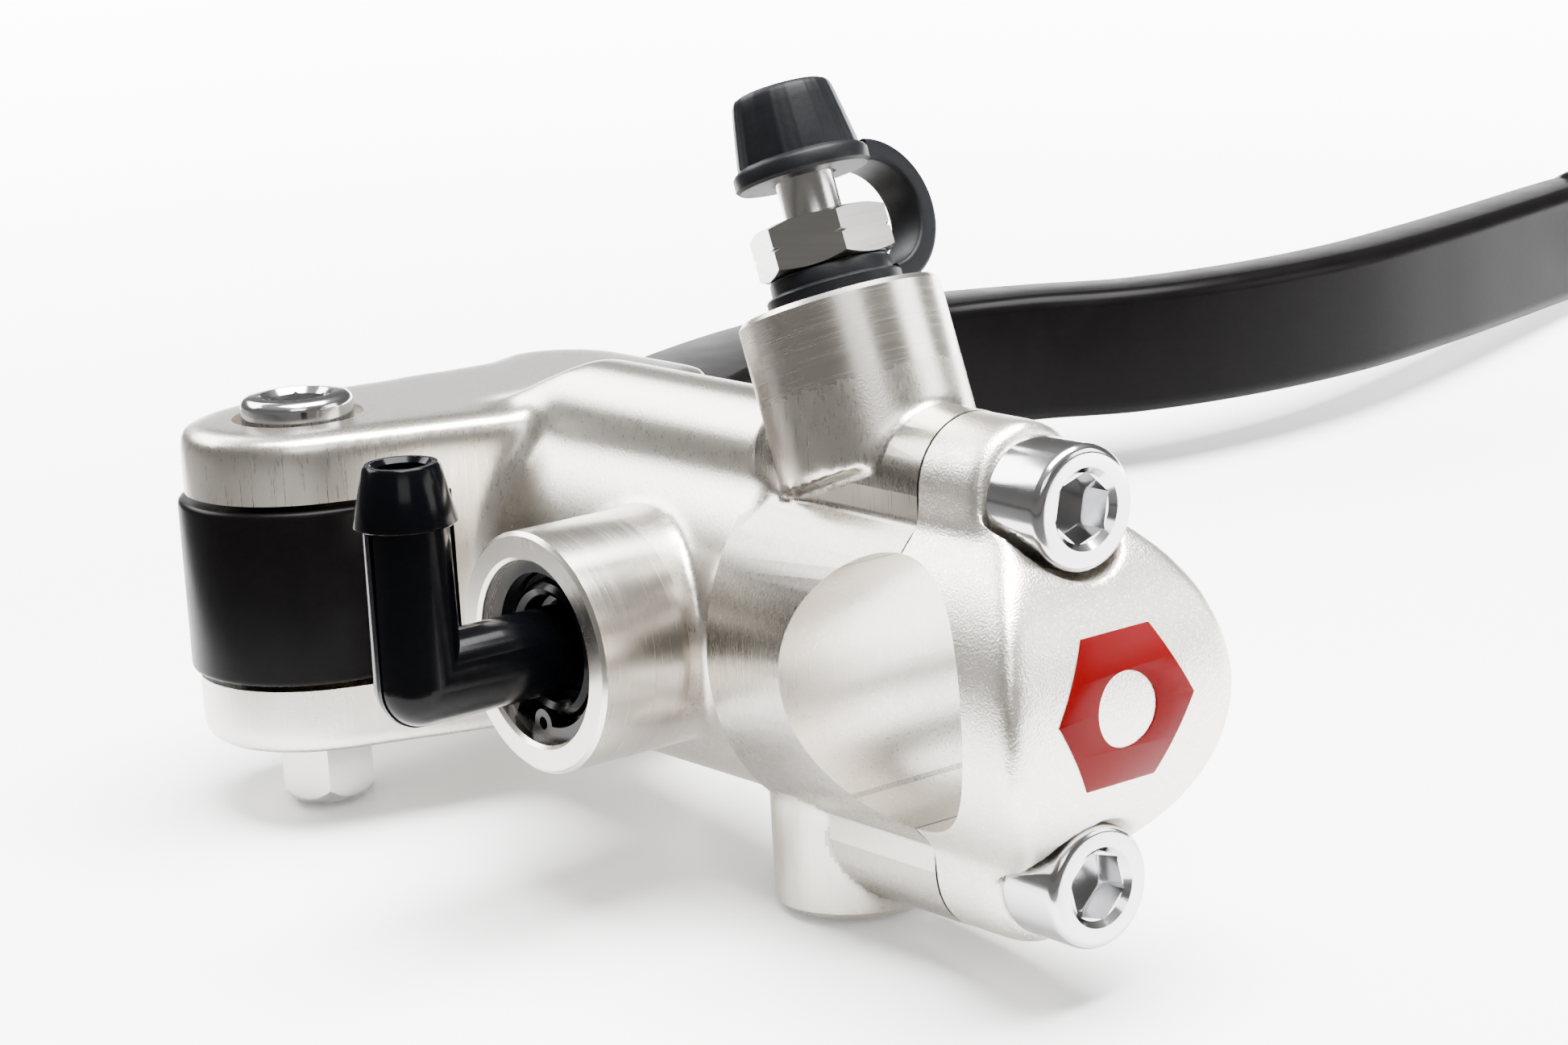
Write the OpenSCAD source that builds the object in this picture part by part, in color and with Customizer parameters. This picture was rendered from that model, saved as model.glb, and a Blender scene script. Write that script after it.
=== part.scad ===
// Radial brake master cylinder with its lever, for the right-hand end of a handlebar.
// Origin: centre of the handlebar clamp bore. +X runs outboard along the bar, +Y forward
// from the bar to the lever pivot, +Z up along the pivot bolt. Millimetres.

/* [Handlebar clamp] */
// Diameter of the handlebar that the clamp grips
bar_d = 22.2; // [20:0.1:25.4]
// Gap between the body and the clamp cap at the split
split_gap = 0.2; // [0.1:0.1:1]
// Half width of the clamp barrel at mid height
block_half_w = 11.8; // [11:0.1:14]
// Radius of the curved sides of the clamp block, seen along Y
block_side_r = 16.9; // [15:0.1:22]
// Half width of the two screw lugs
lug_half_w = 5.75; // [5.5:0.05:7]
// Height of the screw lugs beyond the clamp screws' axes
lug_over = 6; // [5:0.1:8]
// How far the clamp block runs forward of the bar's axis
block_front_y = 20.5; // [18:0.5:28]
// Thickness of the clamp cap around the bar
cap_wall = 5.4; // [3.5:0.1:7]
// Distance of the cap's screw seats behind the split
seat_y = 6.9; // [5:0.1:9]
// Wall left between the bar and each clamp screw
screw_wall = 0.9; // [0.6:0.1:3]
// Diameter of the clamp screws' shanks
screw_d = 6; // [5:1:6]
// Length of the clamp screws' shanks
screw_len = 18; // [14:1:18]
// Width across the red enamel inlay
inlay_w = 12; // [8:0.5:14]

/* [Cylinder and piston] */
// Bore of the cylinder
bore_d = 19; // [15:0.1:19]
// Wall between the bar and the blind end of the bore
bore_wall = 2.9; // [2.4:0.1:5]
// Position of the mouth of the bore, at the back wall of the lever slot
bore_mouth_y = 54.5; // [54:0.5:58]
// Height of the cylinder and of the lever above the bar's axis
lever_z = 1.5; // [0:0.1:2]
// Radial running clearance of shafts, pistons and seals
run_fit = 0.05; // [0.02:0.01:0.08]
// Diameter of the piston's nose
nose_d = 11; // [9:0.5:12]
// How far the nose stands out of the bore
nose_out = 4.5; // [3:0.5:6]
// Diameter of the return spring's wire
spring_wire = 1.4; // [1:0.1:1.6]
// Half width of the neck around the bore
neck_half_w = 11.5; // [11:0.1:13]
// Height of the ridge along the top of the neck
neck_top = 20.2; // [18:0.1:22]

/* [Ports] */
// Outer diameter of the inlet boss
inlet_d = 20.4; // [19:0.1:24]
// Diameter of the inlet boss's seat
inlet_seat_d = 15.6; // [13:0.1:16.5]
// Position of the inlet boss's axis along Y
inlet_y = 32.2; // [31:0.1:34]
// Height of the inlet boss's axis
inlet_z = 0.3; // [-1:0.1:2]
// Distance of the inlet boss's end face from the cylinder's axis
inlet_end_x = 21; // [19:0.5:26]
// Diameter of the bleed boss
bleed_boss_d = 16.8; // [15:0.1:18]
// Forward lean of the bleed boss, in degrees
bleed_tilt = 20; // [10:1:25]
// Diameter of the bleed nipple's thread
nipple_d = 8; // [6:1:8]
// Width across the flats of the bleed nipple's hexagon
nipple_af = 10; // [8:0.5:11]
// Diameter of the outlet boss
outlet_boss_d = 13.8; // [12:0.1:16]
// Tapping diameter of the outlet port
outlet_port_d = 9; // [8:0.1:9]
// Lowest face of the outlet boss, below the bar's axis
outlet_low = 22.4; // [21:0.1:26]
// Diameter of the hose spigot on the inlet elbow
elbow_d = 7.2; // [6:0.1:8]
// Widest diameter of the hose barb
barb_d = 8.4; // [8.1:0.1:9.5]
// Height of the hose barb's tip above the elbow's lower leg
elbow_rise = 18; // [14:0.5:24]

/* [Clevis and pivot] */
// Distance of the pivot inboard of the cylinder's axis
pivot_in = 20; // [18:0.5:22]
// Distance of the pivot forward of the bar's axis
pivot_y = 68.2; // [66:0.1:72]
// Diameter of the pivot bolt's shoulder
pivot_d = 8; // [6:0.5:8.5]
// Height of the slot between the ears
slot_h = 16.6; // [14:0.1:18]
// Thickness of each ear
ear_t = 6; // [4.5:0.1:7]
// Radius of the ears around the pivot
ear_r = 10.6; // [9.5:0.1:12]
// Clearance of the slot around the lever's hub
hub_gap = 2.6; // [1:0.1:3]

/* [Lever] */
// Thickness of the lever's hub
hub_h = 15.5; // [13:0.1:17]
// Radius of the lever's hub
hub_r = 11.2; // [9.5:0.1:11.5]
// Height of the lever's blade
blade_h = 14; // [11:0.5:15]
// Diameter of the ball at the lever's end
ball_d = 15.6; // [13:0.1:17]
// Diameter of the barrel nut
barrel_d = 12; // [9:0.5:12]
// Diameter of the pushrod
rod_d = 6; // [5:0.5:6]
// Diameter of the reach adjuster knob
knob_d = 12.4; // [11:0.1:13]
// Swing of the lever from rest to full stroke, in degrees
lever_swing = 17; // [12:1:18]

/* [Hidden] */
$fn = 96;
eps = 0.01;
far = 60;

// Clamp
cap_r = bar_d / 2 + cap_wall;
screw_z = bar_d / 2 + screw_wall + screw_d / 2;
lug_top = screw_z + lug_over;
block_shift = block_side_r - block_half_w;
head_r = screw_d * 5 / 6;
head_h = screw_d;
head_af = 5;
cap_hole_r = screw_d / 2 + 0.3;
spot_r = head_r + 0.5;
tap_end_y = screw_len - seat_y + 0.9;
inlay_depth = 0.4;
inlay_proud = 0.08;

// Cylinder: stations along Y, from the blind end to the mouth
bore_r = bore_d / 2;
bore_end_y = bar_d / 2 + bore_wall;
piston_r = bore_r - run_fit;
land_t = 1.6;
cup_w = 3.6;
clip_t = 1.2;
mouth_step = 2.7;
clip_y = bore_mouth_y - mouth_step - clip_t;
washer_y = clip_y - 1;
stop_y = washer_y;
rear_cup_y = stop_y - land_t - 2.6;
head_y = inlet_y + 3;
head_t = 1.2;
cup_y = head_y - cup_w;
seat_t = 1;
spring_seat_y = cup_y - seat_t;
waist_r = bore_r - 3.5;
cup_spigot_r = 4;
seat_r = bore_r - 2;
nose_r = nose_d / 2;
nose_y = bore_mouth_y + nose_out;
boot_groove_y = nose_y - 2.9;
boot_groove_r = nose_r - 0.8;
spring_r = bore_r - 2.9;
spring_turns = 6;

// Inlet
seat_in_r = inlet_seat_d / 2;
chamber_r = seat_in_r - 1;
seat_floor_x = -inlet_end_x + 5.5;
chamber_floor_x = -bore_r - 2.7;
inlet_clip_x = -inlet_end_x + 1.4;
inlet_clip_t = 1.1;
comp_port_r = 0.4;
feed_port_r = 1.1;
comp_port_y = cup_y - 0.8;
feed_port_y = head_y + head_t + feed_port_r + 0.2;

// Elbow
elbow_r = elbow_d / 2;
elbow_x = -inlet_end_x - 11.1;
flange_r = seat_in_r - run_fit;
flange_out_x = inlet_clip_x + inlet_clip_t;
lip_r = flange_r - 2.5;
spigot_in_r = 4.8;
spigot_end_x = seat_floor_x + 2.6;
elbow_bore_r = 2.1;

// Bleed
bleed_top = [0, 15.8, 28.2];
nipple_r = nipple_d / 2;
nipple_deep = 8;
hex_low = 2.7;
hex_h = 4.1;
stem_r = nipple_r * 0.6;
barb_r = nipple_r * 0.78;
cap_low = 10.2;
cap_tall = 7.5;
cap_lip_r = 5.6;
cap_top_r = 3.9;
strap_r = 5.3;
strap_in = 5.2;
strap_t = 1.8;
strap_w = 4;
strap_turn = 4;

// Outlet
outlet_y = 17.4;
outlet_deep = 10;

// Clevis
pivot = [-pivot_in, pivot_y];
ear_top = lever_z + slot_h / 2 + ear_t;
ear_low = lever_z - slot_h / 2 - ear_t;
face_turn = -21;
corner_r = 8;
corner = [9, pivot_y + 2.3];
head_sink = 0.8;
bolt_head_r = 5;
bolt_head_h = 2.7;
nut_h = 6.4;
nut_af = 8;
thread_r = 2.5;
shim_gap = 0.1;
shim_t = (slot_h - hub_h) / 2 - shim_gap;
shim_r = 7;

// Lever: the barrel nut swings evenly to both sides of the cylinder's axis
push_arm = pivot_in;
barrel = pivot + push_arm * [cos(lever_swing / 2), sin(lever_swing / 2)];
barrel_r = barrel_d / 2;
rod_r = rod_d / 2;
rod_gap = 0.4;
socket_r = rod_r + 0.6;
socket_y = stop_y - 0.4;
knob_y = barrel[1] + barrel_r + 6;
knob_w = 8.8;
bush_wall = 1;

// Centre line of the lever from the pivot to the ball: x and y from the pivot, and half depth
lever_run = [
    [0, 0, 9.5], [20, 3.6, 8.5], [40, 10.8, 8.6], [62, 22.8, 8.2], [80, 29.8, 7.2],
    [95, 30.3, 6], [108, 25.3, 5.2], [118, 18.8, 4.9], [132, 15.4, 4.6], [148, 15.2, 4.5],
    [165, 18.1, 4.4], [180, 21.6, 4.3], [195, 25.4, 4.2], [206, 28, 4]
];
lever_line = [for (p = lever_run) [pivot[0] + p[0], pivot[1] + p[1], p[2]]];
lever_steps = 5;

// ---- helpers ----------------------------------------------------------------------------

// Extrude an outline drawn in X and Z along Y
module extrude_y(y0, y1) {
    translate([0, y1, 0]) rotate([90, 0, 0]) linear_extrude(y1 - y0) children();
}

module rod_y(y0, y1, r, x = 0, z = 0) {
    translate([x, y0, z]) rotate([-90, 0, 0]) cylinder(h = y1 - y0, r = r);
}

module rod_x(x0, x1, r, y = 0, z = 0) {
    translate([x0, y, z]) rotate([0, 90, 0]) cylinder(h = x1 - x0, r = r);
}

// Turn a profile given as radius and station along Y about the cylinder's axis
module turned_y(profile, x = 0) {
    translate([x, 0, lever_z]) rotate([-90, 0, 0]) rotate_extrude() polygon(profile);
}

// Place children on the bleed boss's top face, with +Z along the nipple
module on_bleed() {
    translate(bleed_top) rotate([-bleed_tilt, 0, 0]) children();
}

module hexagon(af, h) {
    cylinder(h = h, r = af / sqrt(3), $fn = 6);
}

// Catmull-Rom point between b and c
function spline(a, b, c, d, t) =
    0.5 * (2 * b + (c - a) * t + (2 * a - 5 * b + 4 * c - d) * t * t
    + (3 * b - a - 3 * c + d) * t * t * t);

function spline_points(p, steps) = [
    for (i = [0 : len(p) - 2], k = [0 : steps - 1])
        spline(p[max(i - 1, 0)], p[i], p[i + 1], p[min(i + 2, len(p) - 1)], k / steps),
    p[len(p) - 1]
];

function beside(p, i, side) =
    let (a = p[max(i - 1, 0)], b = p[min(i + 1, len(p) - 1)],
         dx = b[0] - a[0], dy = b[1] - a[1], n = norm([dx, dy]))
    [p[i][0] - side * dy / n * p[i][2], p[i][1] + side * dx / n * p[i][2]];

// ---- clamp ------------------------------------------------------------------------------

// The clamp seen along Y: two curved sides with a rounded screw lug above and below
module block_outline() {
    intersection() {
        translate([-block_shift, 0]) circle(r = block_side_r);
        translate([block_shift, 0]) circle(r = block_side_r);
    }
    lug_c = lug_top - lug_half_w;
    translate([-lug_half_w, -lug_c]) square([2 * lug_half_w, 2 * lug_c]);
    for (s = [-1, 1])
        translate([0, s * lug_c]) circle(r = lug_half_w);
}

module inlay_shape(grow = 0) {
    difference() {
        circle(r = inlay_w / sqrt(3) + grow, $fn = 6);
        circle(r = inlay_w / 4 - grow);
    }
}

module clamp_cap() {
    color([0.80, 0.76, 0.70]) difference() {
        intersection() {
            extrude_y(-cap_r - 1, -split_gap / 2) block_outline();
            union() {
                rod_x(-block_half_w - 1, block_half_w + 1, cap_r);
                translate([-far / 2, -seat_y, -far / 2]) cube([far, seat_y, far]);
            }
        }
        rod_x(-far, far, bar_d / 2);
        for (s = [-1, 1]) {
            rod_y(-far, 1, cap_hole_r, 0, s * screw_z);
            rod_y(-far, -seat_y, spot_r, 0, s * screw_z);
        }
        difference() {
            extrude_y(-cap_r - 2, -cap_r / 2) inlay_shape();
            rod_x(-far, far, cap_r - inlay_depth);
        }
    }
}

module cap_inlay() {
    color([0.72, 0.07, 0.10]) difference() {
        intersection() {
            extrude_y(-cap_r - 2, -cap_r / 2) inlay_shape();
            rod_x(-far, far, cap_r + inlay_proud);
        }
        rod_x(-far - 1, far + 1, cap_r - inlay_depth);
    }
}

module clamp_screws() {
    color([0.82, 0.83, 0.85]) for (s = [-1, 1]) translate([0, -seat_y, s * screw_z]) {
        rotate([-90, 0, 0]) cylinder(h = screw_len, r = screw_d / 2);
        difference() {
            rotate([90, 0, 0]) cylinder(h = head_h, r = head_r);
            translate([0, -head_h / 2, 0]) rotate([90, s * 17, 0]) hexagon(head_af, head_h);
        }
    }
}

// ---- body -------------------------------------------------------------------------------

// The neck seen along Y: curved sides and a round ridge on top
module neck_outline() {
    translate([0, lever_z]) intersection() {
        translate([neck_half_w - block_side_r, 0]) circle(r = block_side_r);
        translate([block_side_r - neck_half_w, 0]) circle(r = block_side_r);
    }
    ridge_r = lug_half_w + 0.25;
    translate([0, neck_top - ridge_r]) circle(r = ridge_r);
    translate([0, ear_low + ridge_r - 2]) circle(r = ridge_r);
}

module neck() {
    top_end = bore_mouth_y - 8.5;
    neck_end = bore_mouth_y + 4;
    front = max(neck_end, corner[1]);
    intersection() {
        extrude_y(block_front_y - 2, front) neck_outline();
        rotate([90, 0, 90]) linear_extrude(2 * far, center = true) polygon([
            [0, ear_low - 4], [top_end, ear_low - 4], [neck_end, ear_low],
            [neck_end, ear_low + 1], [front, ear_low + 1], [front, ear_top - 1],
            [neck_end, ear_top - 1], [top_end, neck_top + 1], [0, neck_top + 1]
        ]);
    }
}

// The clevis in plan: a nose around the pivot, a flat face towards the bar and a round corner
module clevis_outline() {
    translate(pivot) circle(r = ear_r);
    translate(corner) circle(r = corner_r);
    face = pivot - ear_r * [-sin(face_turn), cos(face_turn)];
    side_x = corner[0] + corner_r;
    back_y = bore_mouth_y - 3.3;
    intersection() {
        polygon([
            [face[0], back_y], [side_x - 8, back_y], [side_x, back_y + 5], [side_x, corner[1]],
            [corner[0], corner[1] + corner_r], [5, pivot_y + 7.8], [-3, pivot_y + 9],
            [pivot[0] + 1, pivot_y + ear_r - 0.05], pivot, face
        ]);
        translate(face) rotate(face_turn) translate([-far, 0]) square(2 * far);
    }
}

module lever_slot() {
    translate([0, 0, lever_z - slot_h / 2]) linear_extrude(slot_h) {
        translate(pivot) circle(r = hub_r + hub_gap);
        translate([pivot[0], bore_mouth_y]) square([far, far]);
    }
}

module body_solids() {
    extrude_y(split_gap / 2, block_front_y) block_outline();
    neck();
    translate([0, 0, ear_low]) linear_extrude(ear_top - ear_low) clevis_outline();
    rod_x(-inlet_end_x, -2, inlet_d / 2, inlet_y, inlet_z);
    on_bleed() {
        translate([0, 0, -14]) cylinder(h = 13.4, r = bleed_boss_d / 2);
        translate([0, 0, -0.6 - eps]) cylinder(h = 0.6 + eps, r1 = bleed_boss_d / 2,
            r2 = bleed_boss_d / 2 - 0.6);
    }
    translate([0, outlet_y, -outlet_low]) cylinder(h = 14, r = outlet_boss_d / 2);
}

module bore_cuts() {
    rod_y(bore_end_y, far + 10, bore_r, 0, lever_z);
    rod_y(clip_y, clip_y + clip_t, bore_r + 0.8, 0, lever_z);
}

module inlet_cuts() {
    rod_x(-far, seat_floor_x, seat_in_r, inlet_y, inlet_z);
    rod_x(inlet_clip_x, inlet_clip_x + inlet_clip_t, seat_in_r + 0.5, inlet_y, inlet_z);
    rod_x(-far, chamber_floor_x, chamber_r, inlet_y, inlet_z);
    rod_x(-far, -bore_r / 2, comp_port_r, comp_port_y, inlet_z);
    rod_x(-far, -bore_r / 2, feed_port_r, feed_port_y, inlet_z);
}

// The bleed passage leans from the nipple's seat down into the blind end of the bore
module bleed_cuts() {
    seat_in = [0, bleed_top[1] - (nipple_deep + 0.5) * sin(bleed_tilt),
        bleed_top[2] - (nipple_deep + 0.5) * cos(bleed_tilt)];
    foot = [0, bore_end_y + 3, lever_z + bore_r - 1];
    run = foot - seat_in;
    on_bleed() translate([0, 0, -nipple_deep - 0.5])
        cylinder(h = nipple_deep + 2, r = nipple_r + run_fit);
    translate(foot) rotate([atan2(run[1], -run[2]), 0, 0])
        cylinder(h = norm(run) + 0.5, r = 1.1);
}

module outlet_cuts() {
    translate([0, outlet_y, -outlet_low - 1]) cylinder(h = outlet_deep + 1, r = outlet_port_d / 2);
    translate([0, outlet_y, -outlet_low]) cylinder(h = outlet_low, r = 1.5);
}

module pivot_cuts() {
    translate([pivot[0], pivot[1], ear_low - 1])
        cylinder(h = ear_top - ear_low + 2, r = pivot_d / 2 + run_fit);
    translate([pivot[0], pivot[1], ear_top - head_sink]) cylinder(h = 5, r = bolt_head_r + 0.8);
}

module master_body() {
    color([0.80, 0.77, 0.72]) difference() {
        body_solids();
        rod_x(-far, far, bar_d / 2);
        for (s = [-1, 1])
            rod_y(-1, tap_end_y, screw_d / 2, 0, s * screw_z);
        bore_cuts();
        inlet_cuts();
        bleed_cuts();
        outlet_cuts();
        lever_slot();
        pivot_cuts();
    }
}

// ---- cylinder internals -----------------------------------------------------------------

module piston() {
    color([0.62, 0.60, 0.52]) difference() {
        turned_y([
            [0, cup_y], [cup_spigot_r, cup_y], [cup_spigot_r, head_y], [piston_r, head_y],
            [piston_r, head_y + head_t], [waist_r, head_y + head_t], [waist_r, rear_cup_y],
            [waist_r + 0.5, rear_cup_y], [waist_r + 0.5, stop_y - land_t],
            [piston_r, stop_y - land_t], [piston_r, stop_y], [nose_r, stop_y],
            [nose_r, boot_groove_y], [boot_groove_r, boot_groove_y],
            [boot_groove_r, boot_groove_y + 1.4], [nose_r, boot_groove_y + 1.4],
            [nose_r, nose_y], [0, nose_y]
        ]);
        rod_y(socket_y, nose_y + 1, socket_r, 0, lever_z);
    }
}

module primary_cup() {
    lip = 1.2;
    color([0.06, 0.06, 0.06]) turned_y([
        [cup_spigot_r, cup_y], [cup_spigot_r + lip, cup_y], [cup_spigot_r + lip, head_y - 1.6],
        [piston_r - lip, head_y - 1.6], [piston_r - lip, cup_y], [piston_r, cup_y],
        [piston_r, head_y], [cup_spigot_r, head_y]
    ]);
}

module secondary_cup() {
    color([0.06, 0.06, 0.06]) turned_y([
        [waist_r + 0.5, rear_cup_y], [piston_r, rear_cup_y],
        [piston_r, stop_y - land_t], [waist_r + 0.5, stop_y - land_t]
    ]);
}

module spring_seat() {
    hub = spring_r - spring_wire;
    color([0.75, 0.72, 0.55]) turned_y([
        [0, spring_seat_y - 2.4], [hub - 0.6, spring_seat_y - 2.4], [hub, spring_seat_y],
        [seat_r, spring_seat_y], [seat_r, cup_y], [0, cup_y]
    ]);
}

// Points of the coil's rings: sides around the wire, ring after ring along the helix
module return_spring() {
    y0 = bore_end_y + spring_wire / 2;
    y1 = spring_seat_y - spring_wire / 2;
    sides = 8;
    rings = spring_turns * 18;
    points = [
        for (i = [0 : rings], k = [0 : sides - 1])
            let (a = 360 * spring_turns * i / rings, b = 360 * k / sides,
                 r = spring_r + spring_wire / 2 * cos(b))
            [r * cos(a), y0 + (y1 - y0) * i / rings + spring_wire / 2 * sin(b),
             lever_z + r * sin(a)]
    ];
    walls = [
        for (i = [0 : rings - 1], k = [0 : sides - 1])
            let (n = (k + 1) % sides, a = i * sides, b = a + sides)
            each [[a + k, b + k, b + n], [a + k, b + n, a + n]]
    ];
    first = [for (k = [1 : sides - 2]) [0, k, k + 1]];
    end = rings * sides;
    last = [for (k = [1 : sides - 2]) [end, end + k + 1, end + k]];
    color([0.70, 0.70, 0.72]) polyhedron(points, concat(walls, first, last));
}

module stop_washer() {
    color([0.75, 0.75, 0.75]) turned_y([
        [nose_r + 0.3, washer_y], [bore_r - 0.1, washer_y],
        [bore_r - 0.1, clip_y], [nose_r + 0.3, clip_y]
    ]);
}

module piston_circlip() {
    clip_in_r = bore_r - 1.5;
    color([0.15, 0.15, 0.16]) difference() {
        rod_y(clip_y, clip_y + clip_t, bore_r + 0.7, 0, lever_z);
        rod_y(clip_y - 1, clip_y + clip_t + 1, clip_in_r, 0, lever_z);
        translate([-2.5, clip_y - 1, lever_z - far]) cube([5, clip_t + 2, far]);
    }
}

// Rubber boot between the bore's mouth and the groove on the piston's nose
module dust_boot() {
    wall = 0.9;
    base_y = clip_y + clip_t;
    color([0.05, 0.05, 0.05]) turned_y([
        [bore_r - 1.6, base_y], [bore_r, base_y], [bore_r, base_y + 2.2],
        [nose_r + 0.7 + wall, boot_groove_y + 0.2], [nose_r + wall, boot_groove_y + 1.4],
        [boot_groove_r, boot_groove_y + 1.4], [boot_groove_r, boot_groove_y],
        [nose_r + 0.1, boot_groove_y], [nose_r + 0.1, base_y + 1.6], [bore_r - 1.6, base_y + 1.2]
    ]);
}

// ---- inlet ------------------------------------------------------------------------------

module elbow_solids() {
    translate([0, inlet_y, inlet_z]) {
        rotate([0, -90, 0]) rotate_extrude() polygon([
            [0, -spigot_end_x], [spigot_in_r, -spigot_end_x], [spigot_in_r, -seat_floor_x],
            [flange_r, -seat_floor_x], [flange_r, -flange_out_x - eps],
            [lip_r, -flange_out_x - eps], [lip_r - 0.2, -flange_out_x + 0.7],
            [lip_r - 0.9, -flange_out_x + 0.7], [lip_r - 1, -flange_out_x - 0.9],
            [elbow_r, -flange_out_x - 0.9], [elbow_r, -elbow_x], [0, -elbow_x]
        ]);
        translate([elbow_x, 0, 0]) {
            sphere(r = elbow_r);
            cylinder(h = elbow_rise - 5, r = elbow_r);
            translate([0, 0, elbow_rise - 5]) cylinder(h = 5, r1 = barb_d / 2, r2 = barb_d / 2 - 1.1);
        }
    }
}

module inlet_elbow() {
    color([0.05, 0.05, 0.06]) difference() {
        elbow_solids();
        translate([elbow_x, inlet_y, inlet_z]) cylinder(h = far, r = elbow_bore_r);
        rod_x(elbow_x, 0, elbow_bore_r - 0.1, inlet_y, inlet_z);
    }
}

module inlet_oring() {
    color([0.05, 0.05, 0.05]) difference() {
        rod_x(seat_floor_x, seat_floor_x + 2, chamber_r - run_fit, inlet_y, inlet_z);
        rod_x(seat_floor_x - 1, seat_floor_x + 3, spigot_in_r, inlet_y, inlet_z);
    }
}

// Retaining ring cut from sheet, with its gap and two lug holes low on the forward side
module inlet_circlip() {
    gap_turn = 30;
    clip_r = seat_in_r + 0.4;
    clip_in_r = clip_r - 1.65;
    color([0.10, 0.10, 0.11]) translate([inlet_clip_x, inlet_y, inlet_z]) rotate([0, 90, 0])
        linear_extrude(inlet_clip_t) rotate(gap_turn) difference() {
            union() {
                difference() {
                    circle(r = clip_r);
                    circle(r = clip_in_r);
                    translate([0, -1.2]) square([far, 2.4]);
                }
                for (s = [-1, 1]) rotate(s * 20) translate([clip_in_r, 0]) circle(r = 1.2);
            }
            for (s = [-1, 1]) rotate(s * 20) translate([clip_in_r, 0]) circle(r = 0.55);
        }
}

// ---- bleeder ----------------------------------------------------------------------------

module bleed_nipple() {
    tip = cap_low + cap_tall - 2.2;
    color([0.80, 0.80, 0.80]) on_bleed() difference() {
        union() {
            translate([0, 0, -nipple_deep]) cylinder(h = nipple_deep + hex_low + eps, r = nipple_r);
            translate([0, 0, hex_low]) hexagon(nipple_af, hex_h);
            translate([0, 0, hex_low + hex_h - eps]) cylinder(h = 4, r = stem_r);
            translate([0, 0, cap_low]) cylinder(h = 1.6, r1 = stem_r, r2 = barb_r);
            translate([0, 0, cap_low + 1.6]) cylinder(h = 2.4, r1 = barb_r, r2 = stem_r);
            translate([0, 0, cap_low + 1]) cylinder(h = tip - cap_low - 1, r = stem_r);
        }
        translate([0, 0, -nipple_deep + 3]) cylinder(h = far, r = 0.9);
        translate([0, 0, -nipple_deep + 3.5]) rotate([0, 90, 0])
            cylinder(h = far, r = 0.7, center = true);
    }
}

module tether_ring() {
    color([0.05, 0.05, 0.05]) on_bleed() difference() {
        union() {
            cylinder(h = 1.3, r = cap_lip_r);
            cylinder(h = hex_low - 0.1, r = cap_lip_r - 0.6);
        }
        translate([0, 0, -1]) cylinder(h = far, r = nipple_r + run_fit);
    }
}

// Band bent in a C from the ring under the hexagon to the lip of the dust cap
module tether_strap() {
    reach = 78;
    color([0.05, 0.05, 0.05]) on_bleed() rotate([0, 0, strap_turn])
        translate([strap_in, 0, strap_r + 1]) rotate([90, 0, 0]) rotate([0, 0, -reach])
        translate([0, 0, -strap_w / 2]) linear_extrude(strap_w) difference() {
            circle(r = strap_r + strap_t / 2);
            circle(r = strap_r - strap_t / 2);
            rotate(2 * reach) translate([-far / 2, 0]) square([far, far / 2]);
            translate([-far / 2, -far / 2]) square([far, far / 2]);
        }
}

module dust_cap() {
    bore = barb_r + 0.1;
    color([0.05, 0.05, 0.05]) on_bleed() difference() {
        union() {
            translate([0, 0, cap_low]) cylinder(h = 1.5, r = cap_lip_r);
            translate([0, 0, cap_low + 1.5]) cylinder(h = cap_tall - 1.5, r1 = cap_lip_r - 0.6,
                r2 = cap_top_r);
        }
        translate([0, 0, cap_low - 1]) cylinder(h = cap_tall - 0.5, r = bore);
    }
}

// ---- pivot ------------------------------------------------------------------------------

module pivot_bolt() {
    top = ear_top - head_sink;
    color([0.82, 0.83, 0.85]) translate([pivot[0], pivot[1], 0]) difference() {
        union() {
            translate([0, 0, top]) cylinder(h = bolt_head_h, r = bolt_head_r);
            translate([0, 0, ear_low + 0.2]) cylinder(h = top - ear_low, r = pivot_d / 2);
            translate([0, 0, ear_low - nut_h + 0.4]) cylinder(h = nut_h + 1, r = thread_r);
        }
        translate([0, 0, top + 0.7]) hexagon(5, 5);
    }
}

module pivot_nut() {
    color([0.78, 0.78, 0.80]) translate([pivot[0], pivot[1], ear_low]) difference() {
        union() {
            translate([0, 0, -nut_h + 1.6]) hexagon(nut_af, nut_h - 2.4);
            translate([0, 0, -nut_h]) cylinder(h = 2, r = nut_af / 2);
            translate([0, 0, -0.8]) cylinder(h = 0.8, r = nut_af / 2 + 1.2);
        }
        translate([0, 0, -far / 2]) cylinder(h = far, r = thread_r);
    }
}

module pivot_shims() {
    color([0.75, 0.60, 0.35]) for (s = [-1, 1])
        translate([pivot[0], pivot[1], lever_z + s * (slot_h - shim_t) / 2]) difference() {
            cylinder(h = shim_t, r = shim_r, center = true);
            cylinder(h = far, r = pivot_d / 2 + 0.15, center = true);
        }
}

// ---- lever ------------------------------------------------------------------------------

module lever_outline() {
    line = spline_points(lever_line, lever_steps);
    n = len(line);
    translate(pivot) circle(r = hub_r);
    polygon(concat(
        [for (i = [0 : n - 1]) beside(line, i, 1)],
        [for (i = [n - 1 : -1 : 0]) beside(line, i, -1)]
    ));
}

// Room for the pushrod as the lever swings around it
module rod_fan() {
    reach = 2 * barrel_d;
    translate([barrel[0], barrel[1], lever_z - rod_r - rod_gap])
        linear_extrude(2 * (rod_r + rod_gap)) for (k = [0 : 4])
            rotate(lever_swing * k / 4) translate([-rod_r - rod_gap, -reach])
                square([2 * (rod_r + rod_gap), 2 * reach]);
}

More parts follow.
